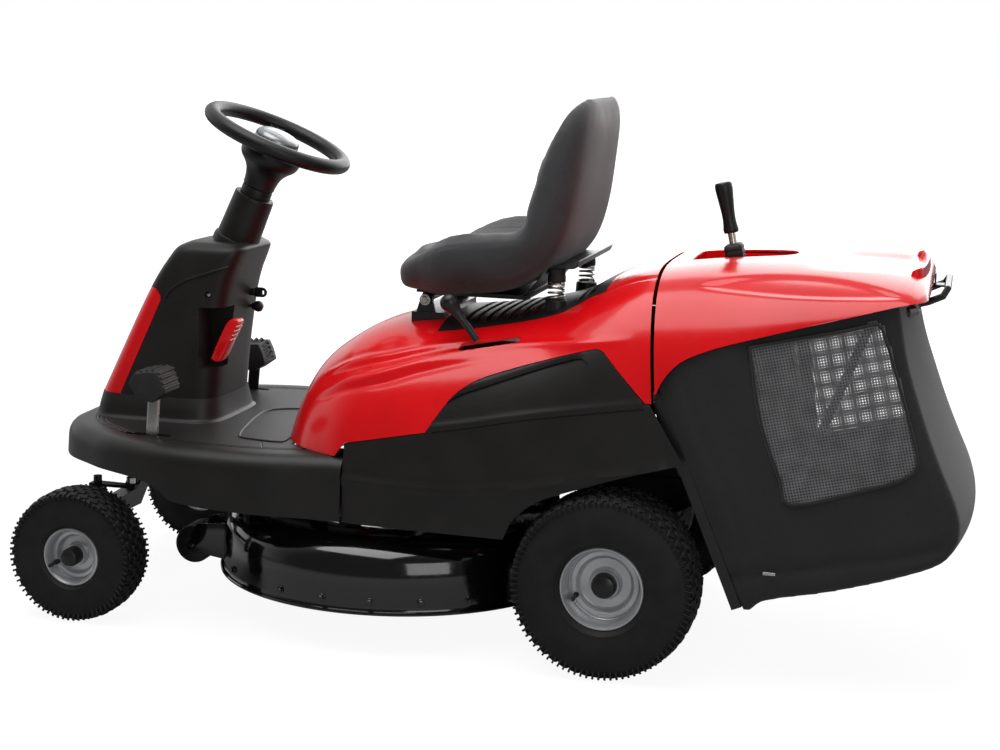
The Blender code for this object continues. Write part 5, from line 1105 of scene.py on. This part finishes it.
def puffed(obj, voxel, pressure, cap):
    """Turns a form into stuffed cloth: remeshed, blown up from inside, and moved no further than the cap."""
    modify(obj, "REMESH", mode="VOXEL", voxel_size=voxel)
    modify(obj, "SMOOTH", factor=0.5, iterations=6)
    before = [v.co.copy() for v in obj.data.vertices]
    step = obj.modifiers.new("stuffing", "CLOTH")
    step.settings.use_pressure = True
    step.settings.uniform_pressure_force = pressure
    step.settings.effector_weights.gravity = 0.0
    step.settings.quality = 4
    step.point_cache.frame_end = STUFFING_FRAMES
    for number in range(1, STUFFING_FRAMES + 1):
        bpy.context.scene.frame_set(number)
    pick(obj)
    bpy.ops.object.modifier_apply(modifier="stuffing")
    bpy.context.scene.frame_set(1)
    for vertex, start in zip(obj.data.vertices, before, strict=True):
        move = vertex.co - start
        if move.length > cap:
            vertex.co = start + move * (cap / move.length)
    return modify(obj, "SMOOTH", factor=0.5, iterations=4)


class MOWER_OT_seat(bpy.types.Operator):
    """Stuffed bucket seat with sewn lines, on coil springs with rubber buffers"""

    bl_idname = "mower.seat"
    bl_label = "Seat and springs"

    def execute(self, context):
        stations = smooth_path(SEAT, 5)
        half = [Vector(p) for p in SEAT_HALF]
        ring = half + [Vector((-p.x, p.y, p.z)) for p in reversed(half[1:-1])]
        ring = smooth_path(ring, 4, loop=True)
        rows = [[seat_point(s, *p) for p in ring + ring[:1]] for s in stations]
        seat = skin("seat_bucket", rows, ends=True)
        puffed(seat, voxel=0.007, pressure=4.0, cap=0.006)
        modify(seat, "SUBSURF", levels=1, render_levels=1)
        reach = (0.62, 0.66, 0.66, 0.66, 0.66, 0.66, 0.66, 0.64, 0.56)
        rise = (0.3, 0.4, 0.45, 0.45, 0.45, 0.45, 0.45, 0.4, 0.3)
        inner = smooth_path([seat_point(s, a, 0.0, u) for s, a, u in zip(SEAT[2:11], reach, rise)], 6)
        outer = smooth_path([seat_point(s, 0.985, 0.0, 0.62) for s in SEAT[1:12]], 6)
        for side in (-1, 1):
            for line, depth, width in ((inner, 0.0040, 0.0042), (outer, 0.0032, 0.0036)):
                pressed(seat, [Vector((p.x, side * p.y, p.z)) for p in line], depth, width)
        for station in (SEAT[3], SEAT[8]):
            pressed(seat, [seat_point(station, 0.60 * k / 8, 0.05, 0.10) for k in range(-8, 9)], 0.0035,
                    0.0042)
        pan_front, pan_rear, pan_half, pan_top = -0.4560, -0.2145, 0.1355, 0.7098
        for vertex in seat.data.vertices:
            x, y, z = vertex.co
            over_pan = pan_front - 0.012 < x < pan_rear + 0.012 and abs(y) < pan_half + 0.012
            if over_pan and z < pan_top:
                vertex.co.z = pan_top
            if hypot(x - SPRING_X, abs(y) - SPRING_Y) < 0.026 and z < BUFFER_TOP:
                vertex.co.z = BUFFER_TOP
        dress(seat, "seat_swing", "vinyl", "seat", angle=60)
        bend = flat_path(((-0.230, 0.7125), (-0.212, 0.7220), (-0.192, 0.7450), (-0.176, 0.7690),
                          (-0.160, 0.7745), (-0.122, 0.7750), (-0.113, 0.7790), (-0.108, 0.7900)), 4)
        shelf = skin("seat_shelf",
                     [[(x, y, z) for y in (-0.176, -0.090, 0.0, 0.090, 0.176)] for x, z in bend])
        modify(shelf, "SOLIDIFY", thickness=0.0025, offset=0.0)
        dress(shelf, "seat_swing", "powder")
        for side, end in SIDES:
            points, coils, steps = [], 4, 28
            for i in range(coils * steps + 1):
                turn = 2 * pi * i / steps
                height = min(max((i - steps / 2) / (coils * steps - steps), 0.0), 1.0)
                points.append((SPRING_X + 0.0158 * cos(turn), side * SPRING_Y + 0.0158 * sin(turn),
                               SPRING_FOOT + 0.0027 + 0.0290 * height))
            dress(pipe("coil_" + end, points, 0.0025, sides=3), "seat_swing", "zinc",
                  "seat_spring_" + end)
            profile = [(0.0, 0.7722), (0.0165, 0.7722), (0.0180, 0.7708), (0.0182, 0.7640),
                       (0.0172, 0.7600), (0.0182, 0.7560), (0.0185, 0.7470), (0.0178, 0.7440),
                       (0.0, 0.7440)]
            buffer = spun("buffer_" + end, profile, 40, Matrix.Translation((SPRING_X, side * SPRING_Y, 0)))
            dress(buffer, "seat_swing", "rubber")
            washer = [(0.0, 0.0), (0.0115, 0.0), (0.0115, 0.0015), (0.0, 0.0015)]
            head = [(0.0, 0.0010), (0.0085, 0.0010), (0.0085, 0.0062), (0.0072, 0.0072), (0.0, 0.0072)]
            spot = Matrix.Translation((-0.435, side * 0.1402, 0.690))
            bolt = hex_bolt("hinge_bolt_" + end, washer, head, spot @ Matrix.Rotation(-side * pi / 2, 4, "X"))
            dress(bolt, "chassis", "zinc", angle=25)
        return {"FINISHED"}


# Grass collector: red cover, fabric bag with net windows, tipping lever
COVER = ((0.050, 0.788, 0.3645, 3.78, 0.255), (0.150, 0.801, 0.362, 3.6, 0.330),
         (0.300, 0.811, 0.356, 2.9, 0.600), (0.430, 0.813, 0.349, 2.7, 0.690),
         (0.520, 0.809, 0.344, 2.6, 0.733), (0.556, 0.800, 0.339, 2.6, 0.738),
         (0.574, 0.785, 0.333, 2.6, 0.725), (0.580, 0.740, 0.318, 2.6, 0.690))
COVER_EDGE = flat_path(((0.0835, 0.563), (0.100, 0.598), (0.127, 0.628), (0.165, 0.648), (0.219, 0.668),
                        (0.347, 0.708), (0.450, 0.737), (0.552, 0.764), (0.640, 0.764)), 3)
LEVER_FOOT = Vector((0.179, 0.0, 0.806))
LEVER_WAY = (Vector((0.148, 0.0, 0.947)) - LEVER_FOOT).normalized()
LEVER_PLACE = Matrix.Translation(LEVER_FOOT) @ LEVER_WAY.to_track_quat("Z", "Y").to_matrix().to_4x4()


def cover_rows():
    """Arched sections with a dished top behind the lever and a long lens pressed into each flank."""
    path = smooth_path(COVER, 12)
    rows = []
    for k in range(101):
        x = 0.050 + 0.530 * k / 100
        low = max(i for i in range(len(path) - 1) if path[i][0] <= x + 1e-9)
        part = (x - path[low][0]) / (path[low + 1][0] - path[low][0])
        x, top, half, power, foot = path[low] + (path[low + 1] - path[low]) * part
        row = []
        for px, y, z in arch(x, top, half, power, foot, 150):
            if z > top - 0.05:
                dish = soft_step((x - 0.320) / 0.110) * soft_step((0.566 - x) / 0.050)
                z -= 0.015 * dish * soft_step((0.205 - abs(y)) / 0.090)
            along = (x - 0.140) / 0.390
            if 0 < along < 1 and abs(y) > 0.20:
                reach = 0.020 * sin(pi * along) ** 0.55
                dent = 0.0055 * soft_step((reach - abs(z - top + 0.036)) / 0.010)
                y -= dent * (1 if y > 0 else -1)
                z -= 0.5 * dent
            row.append((px, y, z))
        rows.append(row)
    return rows


class MOWER_OT_collector_cover(bpy.types.Operator):
    """Glossy cover with its lever trough, dished top, pressed flanks and rear lip"""

    bl_idname = "mower.collector_cover"
    bl_label = "Collector cover"

    def execute(self, context):
        cover = skin("collector_lid", cover_rows())
        modify(cover, "SOLIDIFY", thickness=0.004, offset=-1.0)
        region = COVER_EDGE + [(0.640, 0.900), (0.055, 0.860)]
        trimmed(cover, region)
        trough = flat_path(((0.100, -0.060), (0.104, -0.082), (0.120, -0.090), (0.270, -0.060),
                            (0.306, -0.030), (0.312, 0.0), (0.306, 0.030), (0.270, 0.060), (0.120, 0.090),
                            (0.104, 0.082), (0.100, 0.060)), 4)
        well = slab("trough_wall", trough, 0.0395, level_view(0.7885), 0.0)
        cut(well, slab("under_top", [(0.050, 0.7905), (0.400, 0.8075), (0.400, 0.900), (0.050, 0.900)],
                       0.400, side_view(0.0)))
        inner = slab("trough", [(0.2 + (x - 0.2) * 0.965, y * 0.955) for x, y in trough], 0.200,
                     level_view(0.8725), 0.0)
        cut(cover, slab("trough_way", [(0.2 + (x - 0.2) * 0.97, y * 0.965) for x, y in trough], 0.200,
                        level_view(0.870), 0.0))
        cut(well, inner)
        joined(cover, well)
        lip = smooth_path(((0.540, -0.180, 0.800), (0.556, -0.150, 0.8055), (0.561, 0.0, 0.8065),
                           (0.556, 0.150, 0.8055), (0.540, 0.180, 0.800)), 8)
        section = ((-0.010, -0.014), (-0.004, -0.003), (-0.001, 0.006), (0.002, 0.0085), (0.005, 0.007),
                   (0.006, 0.0), (0.008, -0.014), (-0.010, -0.014))
        fin = skin("lip", [[p + Vector((a, 0, b)) for a, b in section] for p in lip], ends=True)
        joined(cover, fin)
        cut(cover, rod("stem_way", LEVER_FOOT - LEVER_WAY * 0.1, LEVER_FOOT + LEVER_WAY * 0.1, 0.0086))
        dress(cover, "collector", "shell", "collector_cover", angle=40)
        for side, end in SIDES:
            clip = block("cover_clip_" + end, (0.190, side * 0.250 - 0.007, 0.7455),
                         (0.210, side * 0.250 + 0.007, 0.7550), 0.001)
            joined(clip, block("clip", (0.430, side * 0.250 - 0.007, 0.7455),
                               (0.450, side * 0.250 + 0.007, 0.7700), 0.001))
            dress(clip, "collector", "nylon")
        boot = block("lever_boot", (-0.024, -0.019, -0.020), (0.024, 0.019, 0.018), 0.009, 4)
        cut(boot, rod("boot_bore", (0, 0, -0.060), (0, 0, 0.060), 0.0092, steps=32))
        corners = ((-1, -0.6), (-1, 0.6), (-0.6, 1), (0.6, 1), (1, 0.6), (1, -0.6), (0.6, -1), (-0.6, -1))
        for height in (-0.006, 0.004):
            ring = [(sx * 0.0243, sy * 0.0193, height) for sx, sy in corners]
            cut(boot, pipe("boot_fold", ring, 0.0022, loop=True, sides=2))
        boot.data.transform(LEVER_PLACE)
        dress(boot, "collector", "rubber")
        plate = block("rear_stop", (0.5790, -0.020, 0.7600), (0.5990, 0.020, 0.7640), 0.001)
        joined(plate, block("stop_web", (0.5785, -0.020, 0.7610), (0.5815, 0.020, 0.7860), 0.001))
        dress(plate, "collector", "powder")
        stem = spun("lever_stem", [(0.0, 0.1180), (0.0080, 0.1180), (0.0080, -0.2700), (0.0, -0.2700)], 32,
                    LEVER_PLACE)
        dress(stem, "tipping_lever", "zinc", "tip_lever")
        grip = [(0.0081, 0.0400), (0.0135, 0.0400)]
        grip += flat_path(((0.0152, 0.0430), (0.0155, 0.0480), (0.0142, 0.0560), (0.0133, 0.0680),
                           (0.0136, 0.0820), (0.0150, 0.0980), (0.0164, 0.1130), (0.0176, 0.1250)), 3)
        grip += [(0.0180, 0.1320), (0.0174, 0.1395), (0.0150, 0.1430), (0.0090, 0.1443), (0.0, 0.1444),
                 (0.0, 0.1180), (0.0081, 0.1180)]
        dress(spun("lever_grip", grip, 48, LEVER_PLACE, loop=True), "tipping_lever", "foam_skin")
        return {"FINISHED"}


BAG_HALF = 0.335
BAG_REAR = ((0.538, 0.775), (0.565, 0.664), (0.595, 0.580), (0.626, 0.501), (0.653, 0.440), (0.677, 0.388),
            (0.687, 0.345), (0.680, 0.308), (0.648, 0.272), (0.560, 0.238), (0.430, 0.204), (0.300, 0.171),
            (0.284, 0.152))
WINDOW = ((0.257, 0.665), (0.284, 0.672), (0.440, 0.710), (0.488, 0.723), (0.506, 0.690), (0.524, 0.640),
          (0.564, 0.516), (0.569, 0.450), (0.470, 0.407), (0.347, 0.371), (0.325, 0.418), (0.282, 0.530))
MOUTH_SLOPE = 0.427


def mouth_x(z, out):
    """Place of the slanted mouth plane at a height, moved out along its normal."""
    return 0.072 - (z - 0.540) * MOUTH_SLOPE + out / cos(atan2(MOUTH_SLOPE, 1.0))


def inside(point, outline):
    x, z = point
    odd = False
    for (x0, z0), (x1, z1) in zip(outline, outline[1:] + outline[:1]):
        if (z0 > z) != (z1 > z) and x < x0 + (z - z0) * (x1 - x0) / (z1 - z0):
            odd = not odd
    return odd


# The nets: pitch and lean of the yarn, middle of a window, the hole's share of a pitch, and meshes each way
NET_PITCH = 0.0056
NET_LEAN = radians(14)
NET_MIDDLE = (0.43, 0.56)
NET_HOLE = 0.52
NET_REACH = 85


def bag_form(name):
    """The bag's closed form, fuller between its seams, that reaches past the mouth and under the cover."""
    rear = flat_path(BAG_REAR, 4)
    outline = [(mouth_x(0.150, -0.060), 0.152), (mouth_x(0.660, -0.060), 0.660), (0.060, 0.860),
               (0.520, 0.860)] + rear
    bag = slab(name, outline, 2 * BAG_HALF - 0.006, side_view(0.0), 0.026, 4)
    modify(bag, "REMESH", mode="VOXEL", voxel_size=0.009)
    modify(bag, "SMOOTH", factor=0.5, iterations=3)
    for vertex in bag.data.vertices:
        x, y, z = vertex.co
        flank = soft_step((abs(y) - 0.27) / 0.05) * (1 if y > 0 else -1)
        wave = 0.0022 * sin(31 * x + 9 * z) * sin(17 * z - 6 * x)
        wave += 0.0018 * sin(55 * (x + 0.42 * z)) * soft_step((0.42 - x) / 0.15)
        belly = 0.0060 * sin(pi * min(1, max(0, (z - 0.17) / 0.55)))
        vertex.co.y += flank * (wave + belly - 0.004)
        vertex.co.x -= 0.030 * (abs(y) / BAG_HALF) ** 2 * soft_step((x - 0.42) / 0.20)
        vertex.co.z += 0.004 * sin(9 * y) * soft_step((0.30 - z) / 0.06) * (1 - abs(flank))
    return bag


def seam_path(points, side):
    return [Vector((x, side * (BAG_HALF + 0.001), z)) for x, z in flat_path(points, 5)]


def net_mesh(frame_line, side):
    """Points and faces of flat yarn with square holes, wherever a mesh reaches into the window."""
    points, faces, index = [], [], {}
    u, v = NET_PITCH * cos(NET_LEAN), NET_PITCH * sin(NET_LEAN)
    for i in range(-NET_REACH, NET_REACH):
        for k in range(-NET_REACH, NET_REACH):
            spots = ((i, k), (i + 1, k), (i + 1, k + 1), (i, k + 1))
            corners = [(NET_MIDDLE[0] + a * u - b * v, NET_MIDDLE[1] + a * v + b * u) for a, b in spots]
            if not any(inside(c, frame_line) for c in corners):
                continue
            places = []
            for x, z in corners:
                slack = 0.0020 * sin(40 * x + 11 * z) * sin(23 * z)
                places.append(Vector((x, side * (BAG_HALF - 0.0045 + slack), z)))
            middle = sum(places, Vector()) / 4
            ring = []
            for spot, place in zip(spots, places):
                if spot not in index:
                    index[spot] = len(points)
                    points.append(place)
                ring.append(index[spot])
            hole = len(points)
            points += [middle + (place - middle) * NET_HOLE for place in places]
            faces += [(ring[n], ring[(n + 1) % 4], hole + (n + 1) % 4, hole + n) for n in range(4)]
    return points, faces


class MOWER_OT_grass_bag(bpy.types.Operator):
    """Fabric bag, open at its mouth and under the cover, with a net window in each flank"""

    bl_idname = "mower.grass_bag"
    bl_label = "Grass bag"

    def execute(self, context):
        bag = bag_form("bag_cloth")
        rear_seam = ((0.510, 0.770), (0.533, 0.664), (0.563, 0.580), (0.593, 0.495), (0.617, 0.434),
                     (0.636, 0.388), (0.642, 0.345), (0.620, 0.306))
        fold = ((0.620, 0.306), (0.540, 0.283), (0.420, 0.256), (0.300, 0.228), (0.225, 0.210))
        front_seam = ((0.130, 0.600), (0.170, 0.500), (0.215, 0.400), (0.260, 0.290), (0.290, 0.190))
        for side in (-1, 1):
            for line, depth, width in ((rear_seam, 0.0060, 0.0100), (fold, 0.0065, 0.0110),
                                       (front_seam, 0.0035, 0.0080)):
                pressed(bag, seam_path(line, side), depth, width)
        inner = bag.copy()
        inner.data = bag.data.copy()
        bpy.context.scene.collection.objects.link(inner)
        for vertex, normal in [(v, v.normal.copy()) for v in inner.data.vertices]:
            vertex.co -= normal * 0.0030
        lid = [(x, z - 0.0025) for x, z in COVER_EDGE]
        lid += [(0.720, 0.764), (0.720, 0.950), (-0.100, 0.950), (-0.100, 0.455)]
        front = [(mouth_x(0.050, 0.0283), 0.050), (mouth_x(0.700, 0.0283), 0.700), (-0.300, 0.700),
                 (-0.300, 0.050)]
        cut(bag, inner, slab("lid_trim", lid, 1.0, side_view(0.0)),
            slab("mouth_trim", front, 1.0, side_view(0.0)))
        cut(bag, block("handle_notch", (0.500, -0.127, 0.724), (0.640, 0.127, 0.800), 0.0))
        frame_line = flat_path(WINDOW + WINDOW[:1], 3)[:-1]
        for side in (-1, 1):
            cut(bag, slab("window", frame_line, 0.060, side_view(side * BAG_HALF)))
        dress(bag, "collector", "bag_cloth", "grass_bag", angle=60)
        for side, end in SIDES:
            points, faces = net_mesh(frame_line, side)
            net = drawn("window_net_" + end, points, faces=faces)
            modify(net, "SOLIDIFY", thickness=0.0008, offset=0.0)
            dress(net, "collector", "net")
            edge = [Vector((x, side * (BAG_HALF + 0.0005), z)) for x, z in frame_line]
            hem = dress(pipe("window_hem_" + end, edge, 0.0030, loop=True, sides=2), "collector",
                        "bag_cloth")
            stay = pipe("bag_stay_" + end, [(0.478, side * 0.318, 0.728), (0.345, side * 0.318, 0.372)],
                        0.0075, sides=4)
            dress(stay, "collector", "powder")
            strap = slab("bag_strap_" + end,
                         [(0.268, 0.690), (0.298, 0.690), (0.346, 0.366), (0.318, 0.366)], 0.0020,
                         side_view(side * 0.324))
            dress(strap, "collector", "bag_cloth")
            clip = block("bag_clip_" + end, (0.302, side * (BAG_HALF + 0.0010) - 0.0015, 0.2300),
                         (0.326, side * (BAG_HALF + 0.0010) + 0.0015, 0.2360), 0.0008)
            dress(clip, "collector", "zinc")
        return {"FINISHED"}


class MOWER_OT_levers(bpy.types.Operator):
    """Cutting-height lever with its tapered knob"""

    bl_idname = "mower.levers"
    bl_label = "Height lever"

    def execute(self, context):
        pivot, top, y = Vector((-0.190, 0, 0.510)), Vector((-0.346, 0, 0.703)), -0.262
        way = (top - pivot).normalized()
        x, z = pivot.x, pivot.z
        lever = slab("height_arm", stadium((x, z), (-0.326, 0.678), 0.0058), 0.006, side_view(y), 0.001)
        joined(lever, rod("eye", (x, y - 0.003, z), (x, y + 0.003, z), 0.018, steps=40))
        cut(lever, rod("bore", (x, y - 0.030, z), (x, y + 0.030, z), 0.0086, steps=32))
        pin = pivot + way * 0.060
        joined(lever,
               rod("link_pin", (pin.x, y, pin.z), (pin.x, -0.2485, pin.z), 0.006, steps=20, bevel=0.001))
        joined(lever, rod("stalk", (-0.290, y, 0.633), (-0.321, y, 0.672), 0.0072))
        dress(lever, "height_control", "powder", "height_lever")
        bulb = flat_path(((0.0060, 0.0354), (0.0125, 0.0322), (0.0176, 0.0262), (0.0192, 0.0190),
                          (0.0180, 0.0110), (0.0145, 0.0040), (0.0105, -0.0060), (0.0082, -0.0180),
                          (0.0070, -0.0300)), 3)
        profile = [(0.0, 0.0360)] + bulb + [(0.0, -0.0300)]
        spot = top - way * 0.015
        place = Matrix.Translation((spot.x, y, spot.z)) @ way.to_track_quat("Z", "Y").to_matrix().to_4x4()
        dress(spun("height_knob", profile, 48, place), "height_control", "nylon")
        return {"FINISHED"}


KEPT = {"powder": ("frame_rail_left", "frame_rail_right", "engine_plate", "rear_plate", "front_bracket",
                   "steering_bracket", "front_axle", "spindle_left", "spindle_right", "seat_hinge",
                   "seat_bracket", "collector_frame", "collector_mouth", "discharge_chute"),
        "zinc": ("steering_shaft", "steering_sector", "tie_rod", "lift_rod", "rear_lift_shaft",
                 "front_lift_shaft", "blade_spindle", "engine_pulley", "blade"),
        "casting": ("engine_block", "transaxle"), "tank": ("fuel_tank",), "nylon": ("battery",),
        "rubber": ("blade_belt",)}


class MOWER_OT_chassis_finish(bpy.types.Operator):
    """Gives the solids that stay in view their paint, casting and rubber finishes"""

    bl_idname = "mower.chassis_finish"
    bl_label = "Chassis finishes"

    def execute(self, context):
        for finish, nodes in KEPT.items():
            for node in nodes:
                solid = bpy.data.objects[node]
                solid.data.materials.clear()
                solid.data.materials.append(FINISH[finish])
        return {"FINISHED"}


# Stage: the camera stands where the photograph's did
EYE = Vector((0.9248, -3.7503, 1.2172))
AZIMUTH, PITCH, ROLL = radians(14.16), radians(10.25), radians(1.45)
LENS = 66.52


class MOWER_OT_stage(bpy.types.Operator):
    """Pale floor, soft studio light and the camera"""

    bl_idname = "mower.stage"
    bl_label = "Stage"

    def execute(self, context):
        scene = context.scene
        scene.view_settings.view_transform = "Standard"
        forward = Vector((-sin(AZIMUTH) * cos(PITCH), cos(AZIMUTH) * cos(PITCH), -sin(PITCH)))
        across = Vector((cos(AZIMUTH), sin(AZIMUTH), 0.0))
        up = across.cross(forward)
        right = across * cos(ROLL) + up * sin(ROLL)
        over = up * cos(ROLL) - across * sin(ROLL)
        camera = bpy.data.objects.new("camera", bpy.data.cameras.new("camera"))
        camera.data.lens = LENS
        camera.data.sensor_width = 36.0
        camera.data.sensor_fit = "HORIZONTAL"
        camera.data.clip_end = 100.0
        scene.collection.objects.link(camera)
        camera.matrix_world = Matrix((right, over, -forward)).transposed().to_4x4()
        camera.matrix_world.translation = EYE
        scene.camera = camera

        clear()
        bpy.ops.mesh.primitive_plane_add(size=60.0)
        floor = named("studio_floor")
        floor.data.materials.append(self.paper())

        for name, place, target, size, power in (
                ("key", (-0.6, -1.2, 4.4), (0.0, 0.0, 0.4), 3.6, 150.0),
                ("fill", (2.6, -4.2, 1.8), (0.2, 0.0, 0.5), 2.4, 42.0),
                ("back", (0.4, 3.8, 2.6), (0.0, 0.0, 0.7), 4.2, 130.0)):
            lamp = bpy.data.objects.new(name, bpy.data.lights.new(name, "AREA"))
            lamp.data.size = size
            lamp.data.energy = power
            scene.collection.objects.link(lamp)
            lamp.matrix_world = (Vector(place) - Vector(target)).to_track_quat("Z", "Y").to_matrix().to_4x4()
            lamp.matrix_world.translation = place

        world = bpy.data.worlds.new("studio")
        scene.world = world
        world.use_nodes = True
        tree = world.node_tree
        sky = tree.nodes["Background"]
        rays = add_node(tree, "ShaderNodeLightPath")
        mirrored = combined(tree, rays.outputs["Is Glossy Ray"], rays.outputs["Is Transmission Ray"], "ADD")
        way = add_node(tree, "ShaderNodeSeparateXYZ",
                       {"Vector": add_node(tree, "ShaderNodeNewGeometry").outputs["Incoming"]})
        depth = remap(tree, way.outputs["Y"], from_min=-0.25, from_max=0.55, to_min=0.90, to_max=0.10)
        glint = add_node(tree, "ShaderNodeMix", {0: mirrored, 2: 0.30, 3: depth})
        seen = remap(tree, rays.outputs["Is Camera Ray"], to_min=glint.outputs[0], to_max=1.0)
        feed(tree, sky, {"Color": (1.0, 1.0, 1.0, 1.0), "Strength": seen})
        return {"FINISHED"}

    def paper(self):
        """White studio paper that keeps the object's soft shadow."""
        material = bpy.data.materials.new("studio_paper")
        material.use_nodes = True
        tree = material.node_tree
        shader = tree.nodes["Principled BSDF"]
        feed(tree, shader, {"Base Color": linear("#A8A8A8"), "Roughness": 0.9})
        glow = add_node(tree, "ShaderNodeEmission", {"Color": (1.0, 1.0, 1.0, 1.0), "Strength": 1.32})
        rays = add_node(tree, "ShaderNodeLightPath")
        where = add_node(tree, "ShaderNodeTexCoord")
        reach = add_node(tree, "ShaderNodeVectorMath", {0: where.outputs["Object"]}, operation="LENGTH")
        amount = remap(tree, reach.outputs["Value"], from_min=1.6, from_max=4.0, to_min=0.70, to_max=1.0)
        share = combined(tree, rays.outputs["Is Camera Ray"], amount)
        mix = add_node(tree, "ShaderNodeMixShader",
                       {0: share, 1: shader.outputs["BSDF"], 2: glow.outputs["Emission"]})
        feed(tree, tree.nodes["Material Output"], {"Surface": mix.outputs["Shader"]})
        return material


class MOWER_PT_looks(bpy.types.Panel):
    """Lists the pieces, and the sizes and colours that a user would change"""

    bl_idname = "MOWER_PT_looks"
    bl_label = "Riding mower"
    bl_space_type = "VIEW_3D"
    bl_region_type = "UI"
    bl_category = "Mower"

    def draw(self, context):
        for step in STEPS:
            self.layout.operator(step.bl_idname)
        for group in (context.scene.mower_tyres, context.scene.mower_colours):
            for name in type(group).__annotations__:
                self.layout.prop(group, name)


GROUPS = (MowerTyres, MowerColours)
STEPS = (MOWER_OT_stage, MOWER_OT_hood, MOWER_OT_side_panels, MOWER_OT_grille, MOWER_OT_wheels,
         MOWER_OT_console, MOWER_OT_footplate, MOWER_OT_steering, MOWER_OT_deck, MOWER_OT_pedals,
         MOWER_OT_seat, MOWER_OT_collector_cover, MOWER_OT_grass_bag, MOWER_OT_levers,
         MOWER_OT_chassis_finish)


def register():
    for item in GROUPS + STEPS + (MOWER_PT_looks,):
        bpy.utils.register_class(item)
    bpy.types.Scene.mower_tyres = PointerProperty(type=MowerTyres)
    bpy.types.Scene.mower_colours = PointerProperty(type=MowerColours)


def unregister():
    del bpy.types.Scene.mower_colours
    del bpy.types.Scene.mower_tyres
    for item in reversed(GROUPS + STEPS + (MOWER_PT_looks,)):
        bpy.utils.unregister_class(item)


def main():
    register()
    mix_finishes()
    for step in STEPS:
        group, name = step.bl_idname.split(".")
        getattr(getattr(bpy.ops, group), name)()


if __name__ == "__main__":
    main()
